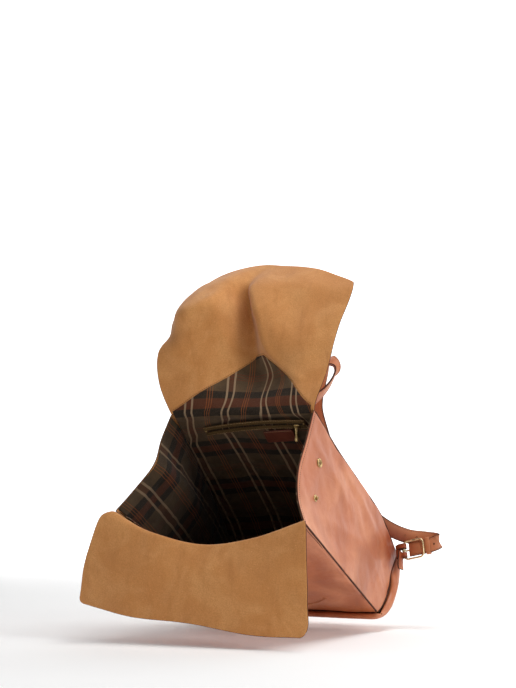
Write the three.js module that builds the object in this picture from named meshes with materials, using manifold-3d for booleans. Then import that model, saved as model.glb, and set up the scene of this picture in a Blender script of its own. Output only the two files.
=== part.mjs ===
// A leather backpack that lies on the front edge of its base with its mouth open and both flaps unfolded.
// Units are millimetres. +X is to the right of someone who looks into the mouth, +Y runs from the mouth
// towards the base, and +Z is up. The shell, the lining and the flaps are thin closed sheets.
import * as THREE from 'three';
import { mergeVertices } from 'three/addons/utils/BufferGeometryUtils.js';
import Module from 'manifold-3d';

const wasm = await Module();
wasm.setup();

// Driving dimensions
const leather = 2.0;
const liningCloth = 0.8;
const liningGap = 5.0;
const seamInset = 3.5;
const foldGap = 2.5;
const clearance = 0.4;
const strapWidth = 22;
const strapThickness = 2.6;

// The whole bag is moved so that its bounding box is centred over the origin and stands on z = 0.
const restShift = [0, -35, 0];

const vec = (x, y, z) => new THREE.Vector3(x, y, z);
const along = (points) => new THREE.CatmullRomCurve3(points, false, 'centripetal');
// Corners of the shell: base or mouth, front or back, left or right
const baseFrontLeft = vec(-138, 146, 9);
const baseFrontRight = vec(138, 146, 9);
const baseBackLeft = vec(-141, 227, 90);
const baseBackRight = vec(141, 227, 90);
const mouthFrontLeft = vec(-135, -153, 160);
const mouthFrontRight = vec(134, -117, 146);
const mouthBackLeft = vec(-107, -44, 300);
const mouthBackRight = vec(112, -31, 302);
const bagMiddle = vec(0, 40, 150);

// Seam and edge curves that neighbouring panels share
const seams = {
  baseFront: new THREE.LineCurve3(baseFrontLeft, baseFrontRight),
  baseBack: new THREE.LineCurve3(baseBackLeft, baseBackRight),
  baseLeft: along([
    baseFrontLeft, vec(-139, 170, 21), vec(-140, 191, 41), vec(-140, 201, 66), vec(-140, 218, 82), baseBackLeft,
  ]),
  baseRight: along([
    baseFrontRight, vec(139, 170, 21), vec(140, 191, 41), vec(140, 201, 66), vec(140, 218, 82), baseBackRight,
  ]),
  frontLeft: new THREE.LineCurve3(baseFrontLeft, mouthFrontLeft),
  frontRight: new THREE.LineCurve3(baseFrontRight, mouthFrontRight),
  backLeft: along([baseBackLeft, vec(-137, 166, 150), vec(-128, 101, 200), vec(-116, 31, 249), mouthBackLeft]),
  backRight: along([baseBackRight, vec(139, 168, 150), vec(130, 103, 200), vec(120, 36, 249), mouthBackRight]),
  mouthFront: along([mouthFrontLeft, vec(-72, -140, 124), vec(-6, -129, 112), vec(66, -122, 122), mouthFrontRight]),
  mouthBack: new THREE.LineCurve3(mouthBackLeft, mouthBackRight),
  mouthLeft: along([mouthFrontLeft, vec(-124, -120, 190), vec(-110, -90, 226), vec(-114, -62, 262), mouthBackLeft]),
  mouthRight: along([mouthFrontRight, vec(117, -100, 180), vec(111, -84, 216), vec(111, -56, 258), mouthBackRight]),
};

// A Coons patch between four edge curves; u runs from side to side and v from the base to the mouth.
// The middle swells by bulge along swellTo.
function patch(base, mouth, first, second, bulge, swellTo) {
  const direction = swellTo.clone().normalize();
  return (u, v) => {
    const corners = base.getPoint(0).multiplyScalar((1 - u) * (1 - v))
      .addScaledVector(base.getPoint(1), u * (1 - v))
      .addScaledVector(mouth.getPoint(0), (1 - u) * v)
      .addScaledVector(mouth.getPoint(1), u * v);
    return base.getPoint(u).multiplyScalar(1 - v)
      .addScaledVector(mouth.getPoint(u), v)
      .addScaledVector(first.getPoint(v), 1 - u)
      .addScaledVector(second.getPoint(v), u)
      .sub(corners)
      .addScaledVector(direction, bulge * 16 * u * (1 - u) * v * (1 - v));
  };
}

const panels = {
  front: patch(seams.baseFront, seams.mouthFront, seams.frontLeft, seams.frontRight, 5, vec(0, -0.36, -0.93)),
  back: patch(seams.baseBack, seams.mouthBack, seams.backLeft, seams.backRight, 10, vec(0, 0.62, 0.78)),
  left: patch(seams.baseLeft, seams.mouthLeft, seams.frontLeft, seams.backLeft, -10, vec(-1, 0, 0)),
  right: patch(seams.baseRight, seams.mouthRight, seams.frontRight, seams.backRight, 4, vec(1, 0, 0)),
};

// The surface through a net of rows of points
function net(rows) {
  const curves = rows.map((row) => along(row));
  return (u, v) => along(curves.map((curve) => curve.getPoint(u))).getPoint(v);
}

const mainFlapSurface = net([
  [vec(-107, -44, 300), vec(-52, -41, 301), vec(3, -37, 301), vec(58, -34, 302), vec(112, -31, 302)],
  [vec(-127, -48, 356), vec(-60, -22, 368), vec(22, 3, 374), vec(78, -8, 374), vec(123, -8, 378)],
  [vec(-118, -25, 415), vec(-62, 0, 432), vec(8, 20, 432), vec(72, 5, 432), vec(133, 14, 435)],
  [vec(-104, 5, 479), vec(-58, 34, 507), vec(-15, 52, 525), vec(50, 55, 516), vec(137, 40, 486)],
]);

const frontFlapSurface = net([
  [vec(-152, -162, 152), vec(-72, -150, 128), vec(-6, -137, 113), vec(62, -130, 122), vec(138, -125, 146)],
  [vec(-176, -160, 90), vec(-95, -158, 78), vec(-10, -148, 66), vec(65, -143, 62), vec(143, -134, 80)],
  [vec(-190, -152, 36), vec(-105, -155, 20), vec(-20, -148, 14), vec(72, -145, 1.2), vec(147, -137, 0.4)],
]);

function surfaceNormal(surface, u, v, away) {
  const step = 0.01;
  const u0 = Math.max(u - step, 0);
  const u1 = Math.min(u + step, 1);
  const v0 = Math.max(v - step, 0);
  const v1 = Math.min(v + step, 1);
  const across = surface(u1, v).sub(surface(u0, v));
  const up = surface(u, v1).sub(surface(u, v0));
  const normal = across.cross(up).normalize();
  return normal.dot(surface(u, v).sub(away)) < 0 ? normal.negate() : normal;
}

// A closed geometry from points and triangles, turned so that it faces out
function closed(points, triangles) {
  let volume = 0;
  for (const [a, b, c] of triangles) {
    volume += points[a].dot(points[b].clone().cross(points[c]));
  }
  const faces = volume < 0 ? triangles.map(([a, b, c]) => [a, c, b]) : triangles;
  const geometry = new THREE.BufferGeometry();
  geometry.setAttribute('position', new THREE.Float32BufferAttribute(points.flatMap((p) => p.toArray()), 3));
  geometry.setIndex(faces.flat());
  return geometry;
}

// A sheet whose outer face lies at depth under a surface, measured away from the outside
function sheet(surface, { depth, thickness, columns, rows, span = [0, 1, 0, 1], away = bagMiddle }) {
  const [uStart, uEnd, vStart, vEnd] = span;
  const points = [];
  for (const level of [depth, depth + thickness]) {
    for (let j = 0; j <= rows; j += 1) {
      for (let i = 0; i <= columns; i += 1) {
        const u = uStart + (uEnd - uStart) * (i / columns);
        const v = vStart + (vEnd - vStart) * (j / rows);
        points.push(surface(u, v).addScaledVector(surfaceNormal(surface, u, v, away), -level));
      }
    }
  }
  const layer = (columns + 1) * (rows + 1);
  const at = (i, j, side) => side * layer + j * (columns + 1) + i;
  const triangles = [];
  const quad = (a, b, c, d) => triangles.push([a, b, c], [a, c, d]);
  for (let j = 0; j < rows; j += 1) {
    for (let i = 0; i < columns; i += 1) {
      quad(at(i, j, 0), at(i + 1, j, 0), at(i + 1, j + 1, 0), at(i, j + 1, 0));
      quad(at(i, j, 1), at(i, j + 1, 1), at(i + 1, j + 1, 1), at(i + 1, j, 1));
    }
  }
  for (let i = 0; i < columns; i += 1) {
    quad(at(i, 0, 0), at(i, 0, 1), at(i + 1, 0, 1), at(i + 1, 0, 0));
    quad(at(i, rows, 0), at(i + 1, rows, 0), at(i + 1, rows, 1), at(i, rows, 1));
  }
  for (let j = 0; j < rows; j += 1) {
    quad(at(0, j, 0), at(0, j + 1, 0), at(0, j + 1, 1), at(0, j, 1));
    quad(at(columns, j, 0), at(columns, j, 1), at(columns, j + 1, 1), at(columns, j + 1, 0));
  }
  return closed(points, triangles);
}

// The part of a panel that stays inside its seams, as shares of its sides
function trimmed(firstSide, secondSide, baseSide, mouthSide, width, length) {
  return [firstSide / width, 1 - secondSide / width, baseSide / length, 1 - mouthSide / length];
}

// A flat strap that follows points; across gives the direction of its width at each point
function ribbon(path, across, width, thickness, steps) {
  const route = along(path);
  const widthRoute = along(across);
  const points = [];
  for (let i = 0; i <= steps; i += 1) {
    const t = i / steps;
    const centre = route.getPoint(t);
    const forward = route.getTangent(t);
    const side = widthRoute.getPoint(t);
    side.addScaledVector(forward, -side.dot(forward)).normalize();
    const face = forward.clone().cross(side);
    for (const [a, b] of [[-1, -1], [1, -1], [1, 1], [-1, 1]]) {
      points.push(centre.clone().addScaledVector(side, a * width / 2).addScaledVector(face, b * thickness / 2));
    }
  }
  const triangles = [];
  for (let i = 0; i < steps; i += 1) {
    for (let k = 0; k < 4; k += 1) {
      const a = i * 4 + k;
      const b = i * 4 + (k + 1) % 4;
      triangles.push([a, b, b + 4], [a, b + 4, a + 4]);
    }
  }
  const last = steps * 4;
  triangles.push([0, 2, 1], [0, 3, 2], [last, last + 1, last + 2], [last, last + 2, last + 3]);
  return closed(points, triangles);
}

// Turns a geometry so that its X, Y and Z lie along three directions, and puts it at a place
function placed(geometry, place, xDirection, yDirection) {
  const x = xDirection.clone().normalize();
  const y = yDirection.clone().addScaledVector(x, -yDirection.dot(x)).normalize();
  const z = x.clone().cross(y);
  return geometry.applyMatrix4(new THREE.Matrix4().makeBasis(x, y, z).setPosition(place));
}

function solid(geometry) {
  const bare = geometry.clone();
  bare.deleteAttribute('normal');
  bare.deleteAttribute('uv');
  const merged = mergeVertices(bare, 1e-4);
  const vertProperties = new Float32Array(merged.attributes.position.array);
  const triVerts = new Uint32Array(merged.index.array);
  return new wasm.Manifold(new wasm.Mesh({ numProp: 3, vertProperties, triVerts }));
}

function fromSolid(manifold) {
  const mesh = manifold.getMesh();
  const geometry = new THREE.BufferGeometry();
  geometry.setAttribute('position', new THREE.BufferAttribute(mesh.vertProperties, 3));
  geometry.setIndex(new THREE.BufferAttribute(mesh.triVerts, 1));
  return geometry;
}

function extruded(shape, depth, curveSegments = 6) {
  return new THREE.ExtrudeGeometry(shape, { depth, bevelEnabled: false, curveSegments })
    .translate(0, 0, -depth / 2);
}

function roundedRectangle(width, height, radius) {
  const shape = new THREE.Shape();
  const x = width / 2;
  const y = height / 2;
  shape.moveTo(-x + radius, -y);
  shape.lineTo(x - radius, -y);
  shape.absarc(x - radius, -y + radius, radius, -Math.PI / 2, 0);
  shape.lineTo(x, y - radius);
  shape.absarc(x - radius, y - radius, radius, 0, Math.PI / 2);
  shape.lineTo(-x + radius, y);
  shape.absarc(-x + radius, y - radius, radius, Math.PI / 2, Math.PI);
  shape.lineTo(-x, -y + radius);
  shape.absarc(-x + radius, -y + radius, radius, Math.PI, Math.PI * 1.5);
  return shape;
}

const finishes = {
  leather: { color: 0xb98063, roughness: 0.5, metalness: 0 },
  suede: { color: 0xc08a55, roughness: 0.95, metalness: 0 },
  lining: { color: 0x4a3a28, roughness: 0.9, metalness: 0 },
  zipTape: { color: 0x5a4428, roughness: 0.9, metalness: 0 },
  label: { color: 0x4a2016, roughness: 0.5, metalness: 0 },
  board: { color: 0x6b5a48, roughness: 0.9, metalness: 0 },
  brass: { color: 0x9c7a48, roughness: 0.35, metalness: 1 },
  strapLeather: { color: 0xb5764f, roughness: 0.5, metalness: 0 },
};

const bag = new THREE.Group();
bag.position.set(...restShift);

function add(name, finish, geometry) {
  const mesh = new THREE.Mesh(geometry, new THREE.MeshStandardMaterial(finishes[finish]));
  mesh.name = name;
  bag.add(mesh);
}

// Shell panels: leather between the seams, each a little short of them
const shellPanels = [
  ['front_panel', 'front', trimmed(seamInset, seamInset, 5, seamInset, 274, 300)],
  ['back_panel', 'back', trimmed(seamInset, seamInset, 5, foldGap, 250, 338)],
  ['left_gusset', 'left', trimmed(5, 5, 3, 3, 150, 300)],
  ['right_gusset', 'right', trimmed(5, 5, 3, 3, 150, 300)],
];
for (const [name, panel, span] of shellPanels) {
  add(name, 'leather', sheet(panels[panel], { depth: 0, thickness: leather, columns: 10, rows: 10, span }));
}

// Base panel: a lip under the front seam, a flat strip to rest on, and the bowed bottom of the bag
const baseHalfWidth = 137;
const restStripFront = 142;
const restStripBack = 158;
const bottomBow = new THREE.QuadraticBezierCurve(
  new THREE.Vector2(restStripBack, 0), new THREE.Vector2(224, 16), new THREE.Vector2(233, 88),
);
const lip = [new THREE.Vector2(136, 8.5), new THREE.Vector2(138, 3.5), new THREE.Vector2(restStripFront, 0)];
const innerStart = [new THREE.Vector2(restStripFront + 4, 0)];
function baseProfile(start, thickness, inset) {
  const outer = start.concat(bottomBow.getPoints(8));
  const offset = (distance) => outer.map((point, i) => {
    const before = outer[Math.max(i - 1, 0)];
    const after = outer[Math.min(i + 1, outer.length - 1)];
    const tangent = after.clone().sub(before).normalize();
    return new THREE.Vector2(point.x - tangent.y * distance, point.y + tangent.x * distance);
  });
  return new THREE.Shape(offset(inset).concat(offset(inset + thickness).reverse()));
}
// The profile is drawn in Y and Z, and the extrusion runs along X.
function acrossTheBag(shape, width) {
  return placed(extruded(shape, width), vec(0, 0, 0), vec(0, 1, 0), vec(0, 0, 1));
}
add('base_panel', 'leather', acrossTheBag(baseProfile(lip, 2.5, 0), 2 * baseHalfWidth));
add('base_stiffener', 'board', acrossTheBag(baseProfile(innerStart, 1.5, 2.9), 2 * baseHalfWidth - 12));
add('lining_base', 'lining', acrossTheBag(baseProfile(innerStart, liningCloth, 4.8), 2 * baseHalfWidth - 14));

// Lining walls inside the leather
const liningWalls = [
  ['lining_front', 'front', trimmed(11, 11, 16, 5, 274, 300), liningGap],
  ['lining_back', 'back', trimmed(12, 12, 14, 6, 250, 338), liningGap + 1.6],
  ['lining_left', 'left', trimmed(12, 12, 14, 5, 150, 300), liningGap],
  ['lining_right', 'right', trimmed(12, 12, 14, 5, 150, 300), liningGap],
];
for (const [name, panel, span, depth] of liningWalls) {
  add(name, 'lining', sheet(panels[panel], { depth, thickness: liningCloth, columns: 7, rows: 7, span }));
}

// Flaps
const flapDepth = -leather / 2;
add('main_flap', 'suede', sheet(mainFlapSurface, {
  depth: flapDepth, thickness: leather, columns: 16, rows: 11, span: [0, 1, foldGap / 240, 1],
}));
add('front_flap', 'suede', sheet(frontFlapSurface, { depth: flapDepth, thickness: leather, columns: 12, rows: 6 }));

// The lining runs up onto the main flap as far as a peak, an upside-down V.
const peakAt = 0.58;
const peakRise = 0.3;
function peakedLining(u, rise) {
  const slope = u < peakAt ? u / peakAt : (1 - u) / (1 - peakAt);
  return mainFlapSurface(u, (0.02 + (peakRise - 0.02) * slope) * rise);
}
add('lining_peak', 'lining', sheet(peakedLining, {
  depth: leather / 2 + 1.0, thickness: liningCloth, columns: 12, rows: 3,
  span: [0.03, 0.97, 0.15, 1], away: vec(0, -400, 380),
}));

// Zip pocket in the back lining: a bag behind the cloth, a straight zip and a small leather label
add('pocket_bag', 'lining', sheet(panels.back, {
  depth: leather + 1.2, thickness: 1.0, columns: 5, rows: 4, span: [0.2, 0.86, 0.62, 0.93],
}));

const zipLeft = vec(-60, -22, 273.5);
const zipRight = vec(92, -26, 280.5);
const zipAlong = zipRight.clone().sub(zipLeft).normalize();
const zipDown = vec(0, 0.78, -0.62);
const zipMiddle = zipLeft.clone().add(zipRight).multiplyScalar(0.5);
const zipLength = zipLeft.distanceTo(zipRight);
const zipInward = vec(0, -0.62, -0.78);

function zipPiece(name, finish, length, height, thickness, alongZip, downZip, inward) {
  const place = zipMiddle.clone().addScaledVector(zipAlong, alongZip)
    .addScaledVector(zipDown, downZip).addScaledVector(zipInward, inward);
  add(name, finish, placed(new THREE.BoxGeometry(length, height, thickness), place, zipAlong, zipDown));
}
zipPiece('zip_tape_upper', 'zipTape', zipLength + 8, 5.5, 0.7, 0, -5.2, 0);
zipPiece('zip_tape_lower', 'zipTape', zipLength + 8, 5.5, 0.7, 0, 5.2, 0);
zipPiece('zip_coil', 'zipTape', zipLength, 4.2, 1.6, 0, 0, 0);
for (const [name, side] of [['zip_stop_left', -1], ['zip_stop_right', 1]]) {
  zipPiece(name, 'brass', 2.4, 4.2, 1.6, side * (zipLength / 2 + 1.7), 0, 0);
}
const sliderAt = zipLength / 2 - 9;
zipPiece('zip_slider', 'brass', 9, 7, 1.8, sliderAt, 0, 2.2);
const pullTop = zipMiddle.clone().addScaledVector(zipAlong, sliderAt).addScaledVector(zipInward, 4.2);
add('zip_pull', 'brass', placed(
  extruded(roundedRectangle(5, 20, 2.2), 1.2),
  pullTop.clone().add(vec(0, 0, -10.6)), zipAlong, vec(0, 0, 1),
));

const labelPlace = zipMiddle.clone().addScaledVector(zipAlong, 34).addScaledVector(zipDown, 27);
add('leather_label', 'label', placed(
  extruded(roundedRectangle(46, 24, 3), 1.4), labelPlace.addScaledVector(zipInward, 0.6), zipAlong, zipDown,
));

// Snap fasteners: a socket and a stud on each gusset, each with a cap on the inner side of the leather
function turned(profile) {
  return new THREE.LatheGeometry(profile.map(([r, h]) => new THREE.Vector2(r, h)), 14).rotateX(Math.PI / 2);
}
const socketProfile = [[0, 0], [6.4, 0], [6.4, 1.2], [5.2, 2.2], [2.6, 2.2], [2.4, 0.9], [0, 0.9]];
const studProfile = [[0, 0], [5.2, 0], [5.2, 0.9], [2.4, 1.3], [2.1, 2.6], [2.4, 3.4], [1.5, 4.2], [0, 4.2]];
const capProfile = [[0, 0], [5, 0], [5, 0.6], [3.5, 1.1], [0, 1.1]];
const snapLift = 0.9;
const snapPlaces = { socket: [0.7, 0.87], stud: [0.42, 0.84] };

function onPanel(geometry, surface, u, v, lift) {
  const normal = surfaceNormal(surface, u, v, bagMiddle);
  const place = surface(u, v).addScaledVector(normal, lift);
  const side = normal.clone().cross(vec(0, 0, 1));
  return placed(geometry, place, side, normal.clone().cross(side));
}
for (const side of ['left', 'right']) {
  for (const [kind, profile] of [['socket', socketProfile], ['stud', studProfile]]) {
    const [u, v] = snapPlaces[kind];
    add(`${side}_snap_${kind}`, 'brass', onPanel(turned(profile), panels[side], u, v, snapLift));
    add(`${side}_snap_${kind}_cap`, 'brass', onPanel(turned(capProfile), panels[side], u, v, -leather - 1.8));
  }
}

// Front pocket welt, low on the front panel
add('front_pocket_welt', 'leather', sheet(panels.front, {
  depth: -1.9, thickness: 1.5, columns: 10, rows: 1, span: [0.3, 0.78, 0.135, 0.16],
}));

// Yoke plate and carrying loop at the top of the back panel
const yokeSpan = [0.37, 0.63, 0.8, 0.92];
add('strap_yoke', 'strapLeather', sheet(panels.back, {
  depth: -2.4 - clearance, thickness: 2.4, columns: 5, rows: 3, span: yokeSpan,
}));
const loopFoot = (side) => panels.back(0.5 + side * 0.085, 0.86)
  .addScaledVector(surfaceNormal(panels.back, 0.5, 0.86, bagMiddle), 6.8);
const loopTop = panels.back(0.5, 0.86).add(vec(0, 30, 36));
const loopAcross = vec(0, 0.78, -0.62);
add('carry_loop', 'strapLeather', ribbon(
  [
    loopFoot(-1), loopTop.clone().lerp(loopFoot(-1), 0.55).add(vec(-12, 0, 0)), loopTop,
    loopTop.clone().lerp(loopFoot(1), 0.55).add(vec(12, 0, 0)), loopFoot(1),
  ],
  [loopAcross, loopAcross, loopAcross, loopAcross, loopAcross], 14, strapThickness, 20,
));

// Shoulder straps: from the yoke each one arches over the back, runs down to the base corner, loops out
// to the side and comes back to its buckle. The left strap mirrors the right one.
const strapPath = [
  [37, 14, 287], [64, 38, 308], [94, 58, 338], [104, 66, 362], [86, 88, 380], [56, 130, 368], [38, 152, 318],
  [52, 146, 274], [72, 133, 234], [92, 138, 202], [106, 160, 172], [119, 188, 148], [136, 215, 129],
  [158, 227, 119.5], [182, 229.5, 117], [199, 227.5, 115], [206.5, 222, 112.8], [201, 216.6, 108.6],
  [186, 215.6, 104.5], [163, 215.6, 99.6],
];
const strapAcross = [
  [0.2, 0.7, -0.6], [0.1, 0.8, -0.5], [-0.2, 0.9, -0.1], [-0.3, 0.9, 0.2], [0.4, 0.6, 0.6], [0.8, 0.1, 0.4],
  [0.9, -0.2, 0.2], [0.9, -0.3, 0.3], [0.95, -0.3, 0.2], [1, -0.2, 0.2], [1, -0.1, 0.3], [0.9, -0.1, 0.4],
  [0.55, 0.1, 0.8], [0.2, 0.25, 0.93], [-0.1, 0.3, 0.94], [-0.2, 0.306, 0.93], [-0.2, 0.306, 0.93],
  [-0.2, 0.306, 0.93], [-0.2, 0.306, 0.93], [-0.2, 0.306, 0.93],
];
const buckleCentre = [170.7, 212.6, 101.2];
const buckleOutward = [0.978, 0, 0.208];
const buckleUp = [-0.198, 0.306, 0.931];
const keeperCentre = [193, 215.8, 106.3];
const buckleLength = 34;
const buckleHeight = 31;
const wire = 3;
const barAt = -(buckleLength - wire) / 2;

function buckleFrameShape() {
  const shape = roundedRectangle(buckleLength, buckleHeight, 7);
  shape.holes.push(roundedRectangle(buckleLength - 2 * wire, buckleHeight - 2 * wire, 2.5));
  return shape;
}

// The folded tab: a U around the buckle's bar with its two ends together
function tabShape() {
  const inner = wire / 2 + 1.1;
  const outer = inner + 2;
  const shape = new THREE.Shape();
  shape.moveTo(-9.5, -outer);
  shape.lineTo(0, -outer);
  shape.absarc(0, 0, outer, -Math.PI / 2, Math.PI / 2);
  shape.lineTo(-9.5, outer);
  shape.lineTo(-9.5, inner);
  shape.lineTo(0, inner);
  shape.absarc(0, 0, inner, Math.PI / 2, -Math.PI / 2, true);
  shape.lineTo(-9.5, -inner);
  return shape;
}

function prongSolid() {
  const eye = new THREE.Shape();
  eye.absarc(0, 0, 3.4, 0, Math.PI * 2);
  const bore = new THREE.Path();
  bore.absarc(0, 0, wire / 2 + 0.7, 0, Math.PI * 2);
  eye.holes.push(bore);
  const ring = extruded(eye, 3, 10).rotateX(Math.PI / 2);
  const rod = new THREE.CylinderGeometry(1.1, 1.4, buckleLength - 3, 10).rotateZ(-Math.PI / 2)
    .translate((buckleLength - 3) / 2 + 1, 0, 2.9);
  return fromSolid(solid(ring).add(solid(rod)));
}

for (const [side, sign] of [['left', -1], ['right', 1]]) {
  const mirrored = ([x, y, z]) => vec(sign * x, y, z);
  const outward = mirrored(buckleOutward);
  const up = mirrored(buckleUp);
  const centre = mirrored(buckleCentre);
  const barPlace = centre.clone().addScaledVector(outward, barAt);
  add(`${side}_shoulder_strap`, 'strapLeather', ribbon(
    strapPath.map(mirrored), strapAcross.map(mirrored), strapWidth, strapThickness, 54,
  ));
  // In the buckle's own frame X points away from the bag and Y up along the strap's width.
  add(`${side}_buckle_frame`, 'brass', placed(extruded(buckleFrameShape(), wire, 8), centre, outward, up));
  const facing = sign > 0 ? 0 : Math.PI;
  add(`${side}_buckle_prong`, 'brass', placed(prongSolid().rotateX(facing), barPlace, outward, up));
  const slot = new THREE.BoxGeometry(12, 5, 12).translate(1.5, 0, 0);
  const tab = placed(extruded(tabShape(), strapWidth, 8), vec(0, 0, 0), vec(1, 0, 0), vec(0, 0, 1));
  add(`${side}_strap_tab`, 'strapLeather', placed(
    fromSolid(solid(tab).subtract(solid(slot))), barPlace, outward, up,
  ));
  const keeperShape = roundedRectangle(6.8, strapWidth + 4.6, 1.2);
  keeperShape.holes.push(roundedRectangle(4.4, strapWidth + 1.6, 0.6));
  const keeper = extruded(keeperShape, 7, 2).rotateY(Math.PI / 2);
  add(`${side}_strap_keeper`, 'strapLeather', placed(keeper, mirrored(keeperCentre), outward, up));
}

export default bag;
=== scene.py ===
"""A leather backpack lying on the front edge of its base, its mouth open and both flaps unfolded.

Shapes are worked out in millimetres in the bag's own axes (x across, y away from the mouth, z up) and
moved into the row frame, in metres, when their meshes are made.
"""

import bpy
import numpy as np
from bpy.props import FloatProperty, IntProperty, PointerProperty
from mathutils import Matrix, Vector


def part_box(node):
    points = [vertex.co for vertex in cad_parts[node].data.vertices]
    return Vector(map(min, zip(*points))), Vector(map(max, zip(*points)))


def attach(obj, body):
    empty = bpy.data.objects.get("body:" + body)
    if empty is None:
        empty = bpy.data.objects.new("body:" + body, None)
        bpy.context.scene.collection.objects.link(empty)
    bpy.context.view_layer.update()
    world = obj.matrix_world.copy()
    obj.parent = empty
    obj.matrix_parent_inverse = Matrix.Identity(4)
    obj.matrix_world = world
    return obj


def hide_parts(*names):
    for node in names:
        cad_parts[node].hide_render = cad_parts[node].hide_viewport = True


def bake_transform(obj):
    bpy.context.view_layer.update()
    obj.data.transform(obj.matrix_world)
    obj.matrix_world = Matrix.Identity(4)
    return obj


bl_info = {
    "name": "Leather Backpack",
    "version": (1, 0, 0),
    "blender": (4, 5, 0),
    "location": "3D View > Sidebar > Backpack",
    "description": "Builds the looks of a leather backpack over its packed frame",
    "category": "Object",
}

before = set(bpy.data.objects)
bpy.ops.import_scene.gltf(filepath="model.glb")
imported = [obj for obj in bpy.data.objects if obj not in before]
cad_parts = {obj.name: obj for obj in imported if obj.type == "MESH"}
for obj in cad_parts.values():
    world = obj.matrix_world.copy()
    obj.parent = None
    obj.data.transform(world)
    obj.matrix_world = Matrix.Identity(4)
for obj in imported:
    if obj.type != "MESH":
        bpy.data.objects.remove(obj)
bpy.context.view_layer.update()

MM = 0.001
ROW_SHIFT = np.array([0.0, -35.0, 0.0])
LEATHER = 2.0
CLOTH = 0.8

# ---------------------------------------------------------------- lines and surfaces


def vec(*numbers):
    return np.array(numbers, float)


def unit(v):
    v = np.asarray(v, float)
    return v / np.maximum(np.linalg.norm(v, axis=-1, keepdims=True), 1e-9)


def smooth(x, low=0.0, high=1.0):
    t = np.clip((x - low) / (high - low), 0, 1)
    return t * t * (3 - 2 * t)


def spline(points, t):
    """A centripetal Catmull-Rom curve through points, at shares t; points may be whole rows of points."""
    p = np.asarray(points, float)
    t = np.asarray(t, float)
    ends = len(p) - 1
    x = np.clip(t, 0, 1) * ends
    i = np.minimum(x.astype(int), ends - 1)
    f = (x - i).reshape((-1,) + (1,) * (p.ndim - 1))
    q = np.concatenate([[2 * p[0] - p[1]], p, [2 * p[-1] - p[-2]]])
    a, b, c, d = q[i], q[i + 1], q[i + 2], q[i + 3]

    def gap(m, n):
        return np.maximum(np.linalg.norm(n - m, axis=-1, keepdims=True), 1e-6) ** 0.5

    ab, bc, cd = gap(a, b), gap(b, c), gap(c, d)
    into = ((b - a) / ab - (c - a) / (ab + bc) + (c - b) / bc) * bc
    out = ((c - b) / bc - (d - b) / (bc + cd) + (d - c) / cd) * bc
    return (
        b * (2 * f**3 - 3 * f**2 + 1)
        + into * (f**3 - 2 * f**2 + f)
        + c * (3 * f**2 - 2 * f**3)
        + out * (f**3 - f**2)
    )


def even(points, count):
    """Resamples a line of points to count points at equal steps."""
    p = np.asarray(points, float)
    along = np.concatenate([[0], np.cumsum(np.linalg.norm(np.diff(p, axis=0), axis=1))])
    t = np.linspace(0, along[-1], count)
    return np.stack([np.interp(t, along, p[:, k]) for k in range(3)], 1)


def loft(rows, count):
    """A grid of count rows through a few rows of points, at roughly equal steps."""
    rows = np.asarray(rows, float)
    step = np.linalg.norm(np.diff(rows, axis=0), axis=2).mean(1)
    along = np.concatenate([[0], np.cumsum(step)]) / step.sum()
    t = np.interp(np.linspace(0, 1, count), along, np.linspace(0, 1, len(rows)))
    return spline(rows, t)


def straight(start, end):
    return lambda t: start + (end - start) * np.asarray(t, float)[:, None]


def through(*points):
    return lambda t: spline(points, t)


BASE_FRONT = {-1: vec(-138, 146, 9), 1: vec(138, 146, 9)}
BASE_BACK = {-1: vec(-141, 227, 90), 1: vec(141, 227, 90)}
MOUTH_FRONT = {-1: vec(-135, -153, 160), 1: vec(134, -117, 146)}
MOUTH_BACK = {-1: vec(-107, -44, 300), 1: vec(112, -31, 302)}
BASE_SIDE = {
    s: through(
        BASE_FRONT[s], vec(
            s * 139, 170, 21
        ), vec(s * 140, 191, 41), vec(s * 140, 201, 66), vec(s * 140, 218, 82),
        BASE_BACK[s],
    )
    for s in (-1, 1)
}
FRONT_SIDE = {s: straight(BASE_FRONT[s], MOUTH_FRONT[s]) for s in (-1, 1)}
BACK_SIDE = {
    -1: through(BASE_BACK[-1], vec(-137, 166, 150), vec(-128, 101, 200), vec(-116, 31, 249), MOUTH_BACK[-1]),
    1: through(BASE_BACK[1], vec(139, 168, 150), vec(130, 103, 200), vec(120, 36, 249), MOUTH_BACK[1]),
}
FRONT_MOUTH = through(
    MOUTH_FRONT[-1], vec(-72, -140, 124), vec(-6, -129, 112), vec(66, -122, 122), MOUTH_FRONT[1]
)
BACK_MOUTH = straight(MOUTH_BACK[-1], MOUTH_BACK[1])
SIDE_MOUTH = {
    -1: through(
        MOUTH_FRONT[-1], vec(-124, -120, 190), vec(-110, -90, 226), vec(-114, -62, 262), MOUTH_BACK[-1]
    ),
    1: through(
        MOUTH_FRONT[1], vec(117, -100, 180), vec(111, -84, 216), vec(111, -56, 258), MOUTH_BACK[1]
    ),
}


def coons(base, mouth, first, second, bulge, toward):
    """A patch between four edges; the surface swells by bulge in its middle. Gives a grid for u and v."""
    swell = unit(toward) * bulge * 16

    def at(u, v):
        u, v = np.asarray(u, float), np.asarray(v, float)
        b, m, f, s = base(u), mouth(u), first(v), second(v)
        ends = np.array([0.0, 1.0])
        b2, m2 = base(ends), mouth(ends)
        u, v = u[None, :, None], v[:, None, None]
        corners = (
            b2[0] * (1 - u) * (1 - v) + b2[1] * u * (1 - v) + m2[0] * (1 - u) * v + m2[1] * u * v
        )
        flat = b[None] * (1 - v) + m[None] * v + f[:, None] * (1 - u) + s[:, None] * u - corners
        return flat + swell * u * (1 - u) * v * (1 - v)

    return at


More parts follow.
